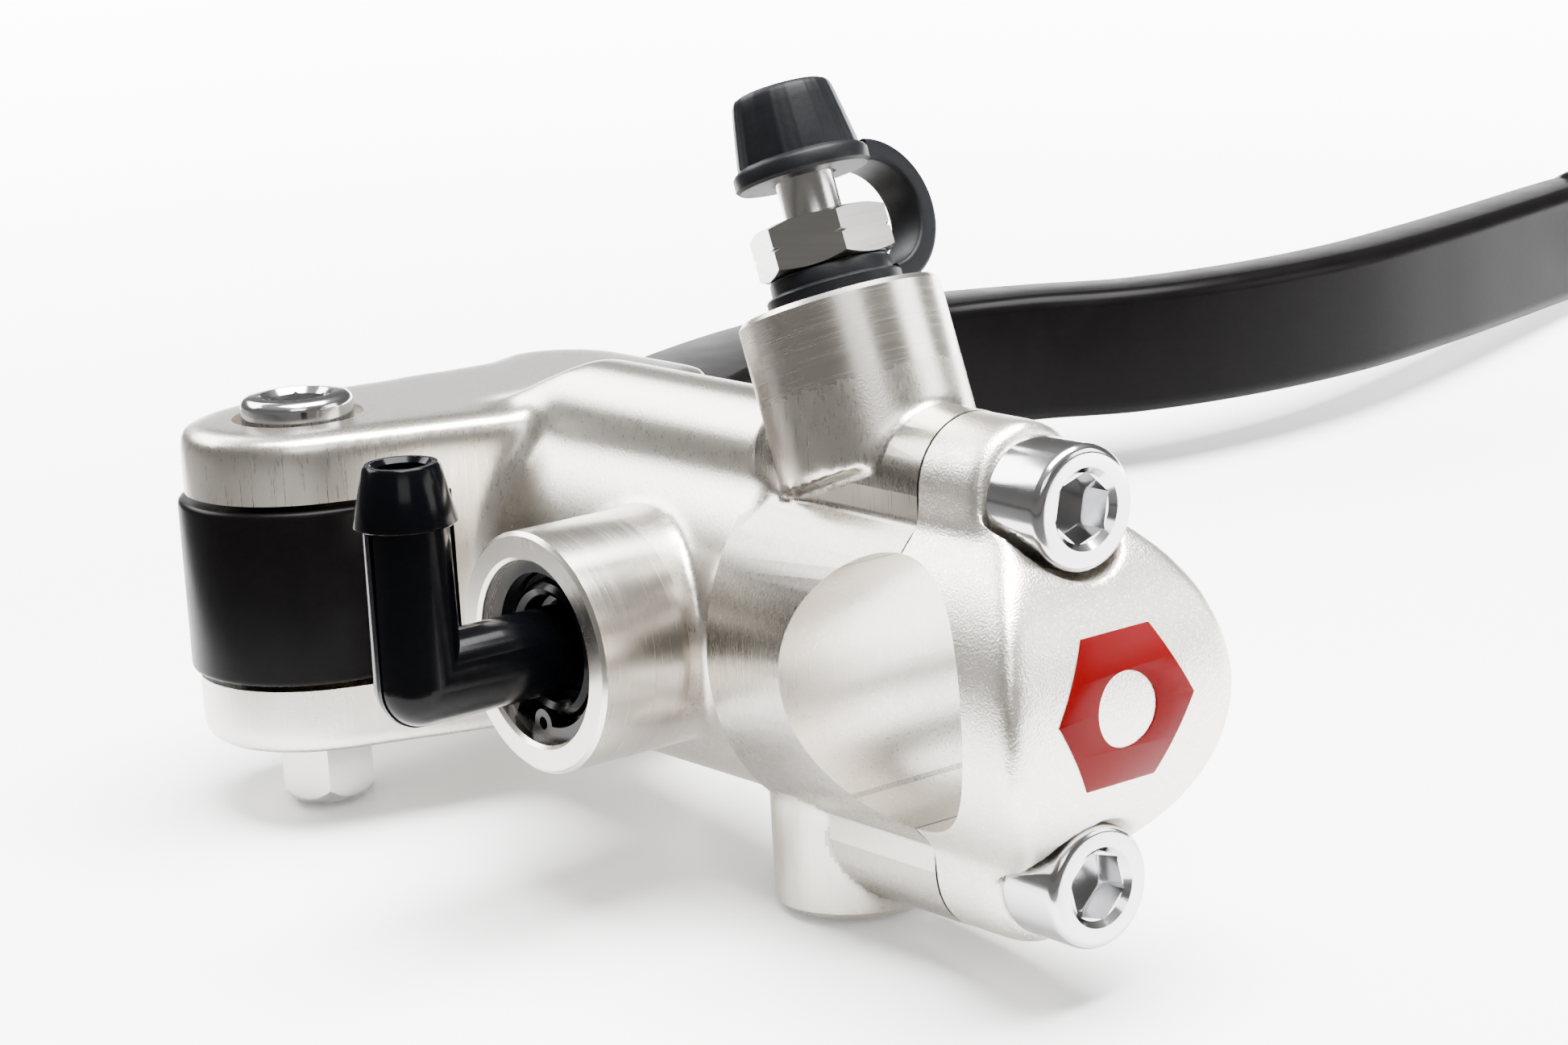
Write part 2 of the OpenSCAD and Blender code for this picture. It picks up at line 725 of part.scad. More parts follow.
module lever() {
    tip = lever_line[len(lever_line) - 1];
    color([0.06, 0.06, 0.07]) difference() {
        union() {
            translate([0, 0, lever_z - blade_h / 2]) linear_extrude(blade_h) lever_outline();
            translate([pivot[0], pivot[1], lever_z - hub_h / 2]) cylinder(h = hub_h, r = hub_r);
            translate([tip[0], tip[1], lever_z]) sphere(r = ball_d / 2);
        }
        translate([pivot[0], pivot[1], -far / 2])
            cylinder(h = far, r = pivot_d / 2 + run_fit + bush_wall);
        for (s = [-1, 1])
            translate([pivot[0], pivot[1], lever_z + s * (hub_h + far) / 2])
                cylinder(h = far, r = hub_r, center = true);
        translate([barrel[0], barrel[1], -far / 2]) cylinder(h = far, r = barrel_r + run_fit);
        rod_fan();
    }
}

module pivot_bush() {
    color([0.72, 0.55, 0.30]) translate([pivot[0], pivot[1], lever_z]) difference() {
        cylinder(h = hub_h, r = pivot_d / 2 + run_fit + bush_wall, center = true);
        cylinder(h = far, r = pivot_d / 2 + run_fit, center = true);
    }
}

module barrel_nut() {
    color([0.75, 0.75, 0.76]) difference() {
        translate([barrel[0], barrel[1], lever_z])
            cylinder(h = blade_h, r = barrel_r, center = true);
        rod_y(0, 2 * far, rod_r, barrel[0], lever_z);
    }
}

module pushrod() {
    end_y = socket_y + 0.1 + rod_r;
    color([0.70, 0.70, 0.72]) {
        translate([barrel[0], end_y, lever_z]) sphere(r = rod_r);
        rod_y(end_y, knob_y + knob_w - 0.6, rod_r, barrel[0], lever_z);
    }
}

module adjuster_knob() {
    flutes = 10;
    color([0.10, 0.10, 0.11]) difference() {
        translate([barrel[0], knob_y, lever_z]) rotate([-90, 0, 0]) {
            cylinder(h = 1, r1 = knob_d / 2 - 1, r2 = knob_d / 2);
            translate([0, 0, 1]) cylinder(h = knob_w - 2, r = knob_d / 2);
            translate([0, 0, knob_w - 1]) cylinder(h = 1, r1 = knob_d / 2, r2 = knob_d / 2 - 1);
        }
        rod_y(0, 2 * far, rod_r + run_fit, barrel[0], lever_z);
        for (k = [0 : flutes - 1]) translate([barrel[0], 0, lever_z])
            rotate([0, 360 * k / flutes, 0]) rod_y(knob_y - 1, knob_y + knob_w + 1, 1, knob_d / 2 + 0.3);
    }
}

// ---- nodes ------------------------------------------------------------------------------

master_body();
clamp_cap();
clamp_screws();
cap_inlay();
piston();
primary_cup();
secondary_cup();
spring_seat();
return_spring();
stop_washer();
piston_circlip();
dust_boot();
inlet_elbow();
inlet_oring();
inlet_circlip();
bleed_nipple();
tether_ring();
tether_strap();
dust_cap();
pivot_bolt();
pivot_nut();
pivot_shims();
lever();
pivot_bush();
barrel_nut();
pushrod();
adjuster_knob();
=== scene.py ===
from math import atan2, cos, degrees, pi, radians, sin, sqrt

import bmesh
import bpy
from mathutils import Matrix, Vector


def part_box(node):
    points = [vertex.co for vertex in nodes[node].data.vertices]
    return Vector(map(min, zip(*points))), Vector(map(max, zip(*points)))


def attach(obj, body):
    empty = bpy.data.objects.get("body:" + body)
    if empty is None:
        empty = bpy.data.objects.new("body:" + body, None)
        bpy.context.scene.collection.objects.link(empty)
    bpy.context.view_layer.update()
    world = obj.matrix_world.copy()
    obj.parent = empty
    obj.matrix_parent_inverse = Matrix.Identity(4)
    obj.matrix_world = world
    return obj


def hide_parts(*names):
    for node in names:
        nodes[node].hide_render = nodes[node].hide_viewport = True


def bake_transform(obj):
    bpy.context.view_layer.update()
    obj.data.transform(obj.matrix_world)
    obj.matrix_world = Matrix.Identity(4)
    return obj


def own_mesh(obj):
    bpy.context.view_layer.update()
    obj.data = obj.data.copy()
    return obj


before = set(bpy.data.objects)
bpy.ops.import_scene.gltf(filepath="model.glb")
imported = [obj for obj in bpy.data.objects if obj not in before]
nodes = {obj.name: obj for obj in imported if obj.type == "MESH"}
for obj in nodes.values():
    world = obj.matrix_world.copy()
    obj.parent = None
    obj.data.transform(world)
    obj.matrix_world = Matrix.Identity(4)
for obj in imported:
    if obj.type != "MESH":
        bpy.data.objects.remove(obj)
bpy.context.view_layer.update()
scene = bpy.context.scene

# ---- The table top, the light and the camera ------------------------------------------------
# A brake master cylinder laid on a white table: it rests on its outlet boss, its pivot nut
# and the ball of its lever, so the table leans a little in the object's own frame.
mm = 0.001
boss_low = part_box("master_body")[0].z
nut_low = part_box("pivot_nut")[0]
ball_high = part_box("lever")[1]

outlet_centre = Vector((0, 17.4, 0)) * mm
pivot = Vector((-20, 68.2, 1.5)) * mm
rest_points = [
    Vector((0, outlet_centre.y, boss_low)),
    Vector((pivot.x, pivot.y, nut_low.z)),
    Vector((ball_high.x - 7.8 * mm, 96.2 * mm, pivot.z - 7.8 * mm)),
]
table_up = (rest_points[1] - rest_points[0]).cross(rest_points[2] - rest_points[0])
if table_up.z < 0:
    table_up.negate()
table_up.normalize()


def link(obj):
    scene.collection.objects.link(obj)
    return obj


def new_material(name):
    material = bpy.data.materials.new(name)
    material.use_nodes = True
    tree = material.node_tree
    return material, tree, tree.nodes["Principled BSDF"]


lean = Vector((0, 0, 1)).rotation_difference(table_up).to_matrix().to_4x4()


def flat(name, corners, drop, material):
    """Part of the table top, from corners in millimetres, lowered a little."""
    mesh = bpy.data.meshes.new(name)
    mesh.from_pydata([(x * mm, y * mm, 0) for x, y in corners], [], [list(range(len(corners)))])
    mesh.transform(Matrix.Translation(rest_points[0] - table_up * drop) @ lean)
    mesh.materials.append(material)
    obj = link(bpy.data.objects.new(name, mesh))


# White sheet that glows a little more with distance, so that the backdrop stays white.
sheet_white, sheet_tree, sheet_shader = new_material("sheet_white")
sheet_shader.inputs["Base Color"].default_value = (1.0, 1.0, 1.0, 1)
sheet_shader.inputs["Roughness"].default_value = 0.22
sheet_shader.inputs["Specular IOR Level"].default_value = 0.35
sheet_shader.inputs["Emission Color"].default_value = (1, 1, 1, 1)
sheet_place = sheet_tree.nodes.new("ShaderNodeTexCoord")
sheet_reach = sheet_tree.nodes.new("ShaderNodeVectorMath")
sheet_reach.operation = "LENGTH"
sheet_glow = sheet_tree.nodes.new("ShaderNodeMapRange")
sheet_glow.inputs["From Min"].default_value = 0.14
sheet_glow.inputs["From Max"].default_value = 0.6
sheet_glow.inputs["To Min"].default_value = 0.2
sheet_glow.inputs["To Max"].default_value = 12.0
sheet_tree.links.new(sheet_place.outputs["Object"], sheet_reach.inputs[0])
sheet_tree.links.new(sheet_reach.outputs["Value"], sheet_glow.inputs["Value"])
sheet_tree.links.new(sheet_glow.outputs[0], sheet_shader.inputs["Emission Strength"])
flat("sheet", [(2030, 4400), (-98, 16), (60, -165), (1915, -2178), (4000, 0)], 0.0002,
     sheet_white)
# Dark sheet around the white one: painted shade that stands in for the dim room the metal mirrors.
shade_sheet_dark, _, shade_sheet_shader = new_material("shade_sheet_dark")
shade_sheet_shader.inputs["Base Color"].default_value = (0.03, 0.029, 0.028, 1)
shade_sheet_shader.inputs["Roughness"].default_value = 0.6
flat("shade_sheet", [(-4000, -4000), (4000, -4000), (4000, 4000), (-4000, 4000)], 0.003, shade_sheet_dark)


def softbox(name, place, aim, width, height, radiance):
    lamp = bpy.data.lights.new(name, "AREA")
    lamp.shape = "RECTANGLE"
    lamp.size = width
    lamp.size_y = height
    lamp.energy = radiance * pi * width * height
    obj = link(bpy.data.objects.new(name, lamp))
    obj.location = place
    obj.rotation_euler = (Vector(aim) - Vector(place)).to_track_quat("-Z", "Y").to_euler()


world = bpy.data.worlds.new("studio")
scene.world = world
world.use_nodes = True
world_tree = world.node_tree
sky_place = world_tree.nodes.new("ShaderNodeTexCoord")
sky_split = world_tree.nodes.new("ShaderNodeSeparateXYZ")
sky_ramp = world_tree.nodes.new("ShaderNodeValToRGB")
world_tree.links.new(sky_place.outputs["Generated"], sky_split.inputs[0])
world_tree.links.new(sky_split.outputs["Z"], sky_ramp.inputs[0])
world_tree.links.new(sky_ramp.outputs[0], world_tree.nodes["Background"].inputs["Color"])
sky = sky_ramp.color_ramp
sky.elements[0].color = (0.30, 0.285, 0.27, 1)
sky.elements[1].color = (0.80, 0.80, 0.80, 1)
for stop, grey in ((0.10, 0.28), (0.30, 0.20), (0.55, 0.26), (0.75, 0.5)):
    step = sky.elements.new(stop)
    step.color = (grey, grey * 0.97, grey * 0.93, 1)

look_at = (0.0, 0.02, 0.0)
softbox("overhead_window", (0.1, -0.1, 0.85), (0.1, -0.1, 0.0), 0.8, 0.6, 50.0)
softbox("front_window", (-0.45, -0.75, 0.6), look_at, 0.5, 0.35, 6.0)
softbox("back_window", (-0.22, 0.94, 0.70), look_at, 1.05, 0.45, 17.0)
softbox("right_window", (0.85, -0.8, 0.45), look_at, 0.6, 0.5, 9.0)

camera_place = Vector((-191.4, -224.5, 80.55)) * mm
view_ahead = Vector((0.59391, 0.77288, -0.22342))
view_right = Vector((0.78365, -0.61860, -0.05679))
view_up = view_right.cross(view_ahead)
camera_data = bpy.data.cameras.new("camera")
camera_data.sensor_width = 36.0
camera_data.lens = 88.8
camera_data.clip_start = 0.01
camera = link(bpy.data.objects.new("camera", camera_data))
turn = Matrix((view_right, view_up, -view_ahead)).transposed()
camera.matrix_world = Matrix.Translation(camera_place) @ turn.to_4x4()
scene.camera = camera

# ---- Master body ------------------------------------------------------------------------------
# One machined aluminium piece, nickel plated: clamp half, neck with the cylinder, clevis, and
# three bosses. It is blended like the real one by smoothing the solid before the cuts are made.
lever_z = pivot.z
block_half_w = 11.8 * mm
block_side_r = 16.9 * mm
lug_half_w = 5.75 * mm
lug_top = 21 * mm
bar_r = 11.1 * mm
split_y = 0.1 * mm
block_front = 20.5 * mm
bore_r = 9.5 * mm
bore_end_y = 14 * mm
mouth_y = 54.5 * mm
slot_half = 8.3 * mm
ear_t = 6 * mm
ear_r = 10.6 * mm
screw_z = 15 * mm
inlet_centre = Vector((-21, 32.2, 0.3)) * mm
inlet_r = 10.2 * mm
bleed_top = Vector((0, 15.8, 28.2)) * mm
bleed_axis = Vector((0, sin(radians(20)), cos(radians(20))))
bleed_boss_r = 8.4 * mm
outlet_low = 22.4 * mm
outlet_boss_r = 6.9 * mm
outlet_chamfer = 0.6 * mm
outlet_face = Matrix.Translation((0, outlet_centre.y, -outlet_low))

X, Y, Z = Vector((1, 0, 0)), Vector((0, 1, 0)), Vector((0, 0, 1))


def facing(axis, place=(0, 0, 0)):
    """Matrix that takes local +Z to an axis and the origin to a place."""
    return Matrix.Translation(place) @ Z.rotation_difference(Vector(axis)).to_matrix().to_4x4()


def piece(name, bm, smooth=True, sharp=32):
    """Object at the origin from a bmesh, shaded smooth apart from edges sharper than an angle."""
    bmesh.ops.recalc_face_normals(bm, faces=bm.faces)
    mesh = bpy.data.meshes.new(name)
    bm.to_mesh(mesh)
    bm.free()
    obj = link(bpy.data.objects.new(name, mesh))
    shade(obj, sharp if smooth else 0)
    return obj


def shade(obj, sharp):
    mesh = obj.data
    mesh.polygons.foreach_set("use_smooth", [sharp > 0] * len(mesh.polygons))
    if sharp > 0:
        mesh.set_sharp_from_angle(angle=radians(sharp))


def prism(outline, low, high, axis="Z"):
    """Closed solid with a flat outline, drawn in the two other axes, between two stations."""
    bm = bmesh.new()
    if axis == "Z":
        points = [(a, b, low) for a, b in outline]
        along = Z
    elif axis == "Y":
        points = [(a, low, b) for a, b in outline]
        along = Y
    else:
        points = [(low, a, b) for a, b in outline]
        along = X
    face = bm.faces.new([bm.verts.new(p) for p in points])
    grown = bmesh.ops.extrude_face_region(bm, geom=[face])
    verts = [g for g in grown["geom"] if isinstance(g, bmesh.types.BMVert)]
    bmesh.ops.translate(bm, vec=along * (high - low), verts=verts)
    bmesh.ops.recalc_face_normals(bm, faces=bm.faces)
    return bm


def turned(profile, matrix=Matrix.Identity(4), steps=72):
    """Solid of revolution about local Z from (radius, height) points, both ends on the axis
    or the profile closed on itself."""
    bm = bmesh.new()
    closed = profile[0] == profile[-1]
    points = profile[:-1] if closed else profile
    verts = [bm.verts.new((r, 0, h)) for r, h in points]
    edges = [bm.edges.new((verts[i], verts[i + 1])) for i in range(len(verts) - 1)]
    if closed:
        edges.append(bm.edges.new((verts[-1], verts[0])))
    bmesh.ops.spin(bm, geom=verts + edges, cent=(0, 0, 0), axis=(0, 0, 1), angle=2 * pi,
                   steps=steps, use_merge=True)
    bmesh.ops.remove_doubles(bm, verts=bm.verts, dist=1e-7)
    bmesh.ops.recalc_face_normals(bm, faces=bm.faces)
    bm.transform(matrix)
    return bm


def rod(start, end, r, steps=72):
    start, end = Vector(start), Vector(end)
    length = (end - start).length
    profile = [(0, 0), (r, 0), (r, length), (0, length)]
    return turned(profile, facing(end - start, start), steps)


def end_chamfer(place, axis, r, width):
    """Cutter that takes the sharp edge off the end face of a round boss."""
    reach = 0.8 * mm
    return turned([(r - width, reach), (r - width, 0), (r + reach, -width - reach),
                   (r + reach, reach), (r - width, reach)], facing(axis, place), 96)


def arc(cx, cy, r, first, last, count):
    """Points on an arc, angles in degrees."""
    return [
        (cx + r * cos(radians(first + (last - first) * k / count)),
         cy + r * sin(radians(first + (last - first) * k / count)))
        for k in range(count + 1)
    ]


def applied(obj):
    """Replace an object's mesh by what its modifiers make of it."""
    graph = bpy.context.evaluated_depsgraph_get()
    mesh = bpy.data.meshes.new_from_object(obj.evaluated_get(graph))
    old = obj.data
    obj.modifiers.clear()
    obj.data = mesh
    bpy.data.meshes.remove(old)
    return obj


def combine(obj, tools, operation):
    """Boolean of an object with each tool, given as a bmesh."""
    for bm in tools:
        tool = piece("tool", bm)
        step = obj.modifiers.new("combine", "BOOLEAN")
        step.operation = operation
        step.solver = "MANIFOLD"
        step.object = tool
        applied(obj)
        bpy.data.objects.remove(tool)
    return obj


def soften(obj, voxel, rounds, factor=0.5):
    """Even out the surface, so that every edge and corner becomes a fillet."""
    remesh = obj.modifiers.new("remesh", "REMESH")
    remesh.mode = "VOXEL"
    remesh.voxel_size = voxel
    even = obj.modifiers.new("even", "SMOOTH")
    even.factor = factor
    even.iterations = rounds
    return applied(obj)


def block_outline(grow=0.0):
    """The clamp seen along Y: curved sides with a rounded lug above and below."""
    half, lug, top = block_half_w + grow, lug_half_w + grow, lug_top + grow
    shift = block_side_r - block_half_w
    side = block_side_r + grow
    meet = sqrt(side ** 2 - (lug + shift) ** 2)
    swing = radians(90) - atan2(lug + shift, meet)
    right = [(side * cos(a) - shift, side * sin(a))
             for a in [swing * (k / 12 - 1) for k in range(25)]]
    upper = arc(0, top - lug, lug, 0, 180, 20)
    left = [(-x, -z) for x, z in right]
    lower = [(-x, -z) for x, z in upper]
    return right + upper + left + lower


def neck_outline():
    """The neck seen along Y: curved sides, a round ridge on top and a keel below."""
    half, side, ridge = 10.9 * mm, 16.9 * mm, 5.6 * mm
    top = 19.8 * mm - ridge
    low = -12.8 * mm + ridge - 2 * mm
    right = arc(half - side, lever_z, side, -46, 46, 20)
    upper = arc(0, top, ridge, 20, 160, 14)
    left = arc(side - half, lever_z, side, 134, 226, 20)
    lower = arc(0, low, ridge, 200, 340, 14)
    return right + upper + left + lower


def clevis_outline():
    """The clevis in plan: a nose around the pivot, a flat face to the bar, a round corner."""
    nose = arc(pivot.x, pivot.y, ear_r, 88, 250, 28)
    corner = arc(9 * mm, 70.5 * mm, 8 * mm, 0, 90, 12)
    back = [(-4.2 * mm, 51.2 * mm), (9 * mm, 51.2 * mm), (17 * mm, 56.2 * mm)]
    waist = [(5 * mm, 76.3 * mm), (-3 * mm, 77.4 * mm)]
    return nose + back + corner + waist


master_body = piece("master_body_shell", prism(neck_outline(), 18 * mm, 58.5 * mm, "Y"))
ridge_cut = prism([(45 * mm, 22 * mm), (61 * mm, 22 * mm), (61 * mm, 14.8 * mm)],
                  -20 * mm, 20 * mm, "X")
combine(master_body, [ridge_cut], "DIFFERENCE")
ear_low, ear_top = lever_z - slot_half - ear_t, lever_z + slot_half + ear_t
combine(master_body, [prism(clevis_outline(), ear_low, ear_top)], "UNION")
soften(master_body, 0.7 * mm, 24)
combine(master_body, [
    prism(block_outline(), -3 * mm, block_front, "Y"),
    rod(inlet_centre - X * 3 * mm, Vector((-2 * mm, inlet_centre.y, inlet_centre.z)), inlet_r),
    rod(bleed_top - bleed_axis * 14 * mm, bleed_top + bleed_axis * 3 * mm, bleed_boss_r),
    rod((0, outlet_centre.y, -outlet_low - 3 * mm), (0, outlet_centre.y, -8 * mm),
        outlet_boss_r),
], "UNION")
soften(master_body, 0.45 * mm, 7)
# The clamp block is added again on top, so that its milled edges are crisp.
block_grow = 0.04 * mm
combine(master_body, [prism(block_outline(block_grow), -3 * mm, block_front, "Y")], "UNION")


def slot_outline():
    """Plan of the slot: a round pocket about the pivot, open forward and outboard."""
    r = 13.8 * mm
    back = pivot.y - mouth_y
    meet = 360 - degrees(atan2(back, sqrt(r ** 2 - back ** 2)))
    pocket = arc(pivot.x, pivot.y, r, 90, meet, 40)
    return pocket + [(40 * mm, mouth_y), (40 * mm, 95 * mm), (pivot.x, 95 * mm)]


def half_space(place, outward, size=80 * mm):
    """Block that removes everything beyond a plane."""
    bm = bmesh.new()
    bmesh.ops.create_cube(bm, size=size)
    bm.transform(facing(outward, place) @ Matrix.Translation((0, 0, size / 2)))
    return bm


seat_r = 7.8 * mm
combine(master_body, [
    half_space((0, split_y, 0), -Y),
    half_space(inlet_centre, -X, 21.6 * mm),
    half_space(bleed_top, bleed_axis, 20 * mm),
    rod((0, outlet_centre.y, -outlet_low - 5 * mm), (0, outlet_centre.y, -outlet_low), 9 * mm),
    rod((-30 * mm, 0, 0), (30 * mm, 0, 0), bar_r, 128),
    prism(slot_outline(), lever_z - slot_half, lever_z + slot_half),
    rod((0, bore_end_y, lever_z), (0, 90 * mm, lever_z), bore_r, 96),
    turned([(0, -20 * mm), (seat_r + 0.3 * mm, -20 * mm), (seat_r + 0.3 * mm, 0),
            (seat_r, 0.3 * mm), (seat_r, 5.5 * mm), (6.8 * mm, 5.5 * mm),
            (6.8 * mm, 8.8 * mm), (0, 8.8 * mm)], facing(X, inlet_centre), 96),
    end_chamfer(inlet_centre, -X, inlet_r, 0.35 * mm),
    end_chamfer(bleed_top, bleed_axis, bleed_boss_r, 0.45 * mm),
    turned([(outlet_boss_r - outlet_chamfer, -0.8 * mm), (outlet_boss_r - outlet_chamfer, 0),
            (outlet_boss_r + 0.8 * mm, outlet_chamfer + 0.8 * mm),
            (outlet_boss_r + 0.8 * mm, -0.8 * mm),
            (outlet_boss_r - outlet_chamfer, -0.8 * mm)], outlet_face, 96),
    rod(bleed_top - bleed_axis * 8.5 * mm, bleed_top + bleed_axis * 2 * mm, 4.05 * mm),
    rod((0, outlet_centre.y, -30 * mm), (0, outlet_centre.y, -12.4 * mm), 4.5 * mm),
    rod((pivot.x, pivot.y, -30 * mm), (pivot.x, pivot.y, 30 * mm), 4.05 * mm),
    turned([(0, -0.8 * mm), (5.8 * mm, -0.8 * mm), (6.1 * mm, 6 * mm), (0, 6 * mm)],
           facing(Z, (pivot.x, pivot.y, ear_top))),
] + [rod((0, -1 * mm, s * screw_z), (0, 12 * mm, s * screw_z), 3 * mm) for s in (-1, 1)],
    "DIFFERENCE")
shade(master_body, 32)


def values(group, kind, *names):
    for name in names:
        group.interface.new_socket(name, in_out=kind, socket_type="NodeSocketFloat")


def blast_group():
    """Fine pits of bead blasting: a height for bump and a sparkle mask."""
    group = bpy.data.node_groups.new("bead_blast", "ShaderNodeTree")
    group.interface.new_socket("Vector", in_out="INPUT", socket_type="NodeSocketVector")
    values(group, "INPUT", "Scale")
    values(group, "OUTPUT", "Height", "Sparkle")
    tree = group.nodes
    start, end = tree.new("NodeGroupInput"), tree.new("NodeGroupOutput")
    fine = tree.new("ShaderNodeTexNoise")
    fine.inputs["Detail"].default_value = 3.0
    cell = tree.new("ShaderNodeTexVoronoi")
    gleam = tree.new("ShaderNodeMapRange")
    gleam.inputs["From Min"].default_value = 0.80
    gleam.inputs["From Max"].default_value = 1.0
    join = group.links.new
    join(start.outputs["Vector"], fine.inputs["Vector"])
    join(start.outputs["Vector"], cell.inputs["Vector"])
    join(start.outputs["Scale"], fine.inputs["Scale"])
    join(start.outputs["Scale"], cell.inputs["Scale"])
    split = tree.new("ShaderNodeSeparateColor")
    join(cell.outputs["Color"], split.inputs[0])
    join(split.outputs[0], gleam.inputs["Value"])
    join(fine.outputs[0], end.inputs["Height"])
    join(gleam.outputs[0], end.inputs["Sparkle"])
    return group


def brush_group():
    """Fine parallel tool lines: noise drawn out along one axis."""
    group = bpy.data.node_groups.new("tool_lines", "ShaderNodeTree")
    group.interface.new_socket("Vector", in_out="INPUT", socket_type="NodeSocketVector")
    group.interface.new_socket("Stretch", in_out="INPUT", socket_type="NodeSocketVector")
    values(group, "OUTPUT", "Lines")
    tree = group.nodes
    start, end = tree.new("NodeGroupInput"), tree.new("NodeGroupOutput")
    scale = tree.new("ShaderNodeVectorMath")
    scale.operation = "MULTIPLY"
    noise = tree.new("ShaderNodeTexNoise")
    noise.inputs["Scale"].default_value = 1.0
    noise.inputs["Detail"].default_value = 4.0
    join = group.links.new
    join(start.outputs["Vector"], scale.inputs[0])
    join(start.outputs["Stretch"], scale.inputs[1])
    join(scale.outputs[0], noise.inputs["Vector"])
    join(noise.outputs[0], end.inputs["Lines"])
    return group


bead_blast = blast_group()
tool_lines = brush_group()


def add_group(tree, group):
    node = tree.nodes.new("ShaderNodeGroup")
    node.node_tree = group
    return node


def metal(name, color, roughness, blast=0.0, stretch=None, lines=0.0, turn=0.0, sparkle=0.0):
    """Plated or bare metal with blasted pits, tool lines and a slow change of tone."""
    material, tree, shader = new_material(name)
    join = tree.links.new
    shader.inputs["Metallic"].default_value = 1.0
    place = tree.nodes.new("ShaderNodeTexCoord")
    tone = tree.nodes.new("ShaderNodeTexNoise")
    tone.inputs["Scale"].default_value = 45.0
    tone.inputs["Detail"].default_value = 2.0
    join(place.outputs["Object"], tone.inputs["Vector"])
    shift = tree.nodes.new("ShaderNodeMix")
    shift.data_type = "RGBA"
    darker = [c * 0.95 for c in color]
    shift.inputs["A"].default_value = (*color, 1)
    shift.inputs["B"].default_value = (*darker, 1)
    join(tone.outputs[0], shift.inputs["Factor"])
    color_out = shift.outputs["Result"]
    rough = tree.nodes.new("ShaderNodeMapRange")
    rough.inputs["To Min"].default_value = roughness * 0.92
    rough.inputs["To Max"].default_value = roughness * 1.08
    join(tone.outputs[0], rough.inputs["Value"])
    rough_out = rough.outputs[0]
    normal_out = None
    if blast > 0:
        pits = add_group(tree, bead_blast)
        pits.inputs["Scale"].default_value = 5200.0
        join(place.outputs["Object"], pits.inputs["Vector"])
        bump = tree.nodes.new("ShaderNodeBump")
        bump.inputs["Strength"].default_value = blast
        bump.inputs["Distance"].default_value = 0.00006
        join(pits.outputs["Height"], bump.inputs["Height"])
        normal_out = bump.outputs[0]
        bright = tree.nodes.new("ShaderNodeMix")
        bright.data_type = "RGBA"
        bright.inputs["B"].default_value = (*[min(1.0, c + sparkle) for c in color], 1)
        join(color_out, bright.inputs["A"])
        join(pits.outputs["Sparkle"], bright.inputs["Factor"])
        color_out = bright.outputs["Result"]
    if lines > 0:
        brushed = add_group(tree, tool_lines)
        brushed.inputs["Stretch"].default_value = stretch
        along = tree.nodes.new("ShaderNodeMapping")
        along.inputs["Rotation"].default_value = (turn, 0, 0)
        join(place.outputs["Object"], along.inputs["Vector"])
        join(along.outputs[0], brushed.inputs["Vector"])
        groove = tree.nodes.new("ShaderNodeBump")
        groove.inputs["Strength"].default_value = lines
        groove.inputs["Distance"].default_value = 0.00004
        join(brushed.outputs[0], groove.inputs["Height"])
        if normal_out:
            join(normal_out, groove.inputs["Normal"])
        normal_out = groove.outputs[0]
        spread = tree.nodes.new("ShaderNodeMapRange")
        spread.inputs["To Min"].default_value = roughness * 0.7
        spread.inputs["To Max"].default_value = roughness * 1.35
        join(brushed.outputs[0], spread.inputs["Value"])
        rough_out = spread.outputs[0]
    join(color_out, shader.inputs["Base Color"])
    join(rough_out, shader.inputs["Roughness"])
    if normal_out:
        join(normal_out, shader.inputs["Normal"])
    return material


# Bead-blasted nickel all over, turned on the inlet boss and faced on the bleed boss. The clamp's
# milled sides have real tool lines, and their colour is darkened to 0.62 as painted shade.
nickel = (0.54, 0.505, 0.455)
nickel_satin = metal("nickel_satin", nickel, 0.29, blast=0.2, stretch=(5200, 5200, 150),
                     lines=0.03)
# Milled clamp sides: real tool lines, with the colour darkened to 0.62 as painted shade.
nickel_milled_shaded = metal("nickel_milled_shaded", [c * 0.62 for c in nickel], 0.27,
                      stretch=(5200, 5200, 150), lines=0.10)
nickel_turned = metal("nickel_turned", nickel, 0.25, stretch=(4200, 90, 90), lines=0.04)
nickel_faced = metal("nickel_faced", nickel, 0.25, stretch=(90, 90, 4200), lines=0.025,
                     turn=radians(20))


def dress(obj, material):
    obj.data.materials.clear()
    obj.data.materials.append(material)
    return obj


dress(master_body, nickel_satin)
for finish in (nickel_turned, nickel_faced, nickel_milled_shaded):
    master_body.data.materials.append(finish)
turned_slot, faced_slot, milled_shade_slot = range(1, 4)
inlet_root_x = -12.4 * mm
inlet_skin_r = inlet_r + 0.4 * mm
bleed_skin_r = bleed_boss_r + 0.3 * mm
bleed_skin_low = -7 * mm
to_bleed = facing(bleed_axis, bleed_top).inverted()


def on_block_side(spot, grow):
    """Whether a point lies on the milled sides of the clamp."""
    shift = block_side_r - block_half_w
    side = Vector((abs(spot.x) + shift, spot.z)).length - block_side_r - grow
    lug = Vector((spot.x, abs(spot.z) - lug_top + lug_half_w)).length - lug_half_w - grow
    return min(abs(side), abs(lug)) < 0.12 * mm and abs(spot.z) < lug_top - 0.4 * mm


for polygon in master_body.data.polygons:
    spot = polygon.center
    from_bleed = to_bleed @ spot
    if spot.x < inlet_root_x and (spot.yz - inlet_centre.yz).length < inlet_skin_r:
        polygon.material_index = turned_slot
    elif from_bleed.z > bleed_skin_low and from_bleed.xy.length < bleed_skin_r:
        polygon.material_index = faced_slot
    elif on_block_side(spot, block_grow) and spot.y < block_front + 0.1 * mm:
        polygon.material_index = milled_shade_slot
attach(master_body, "root")
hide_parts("master_body")

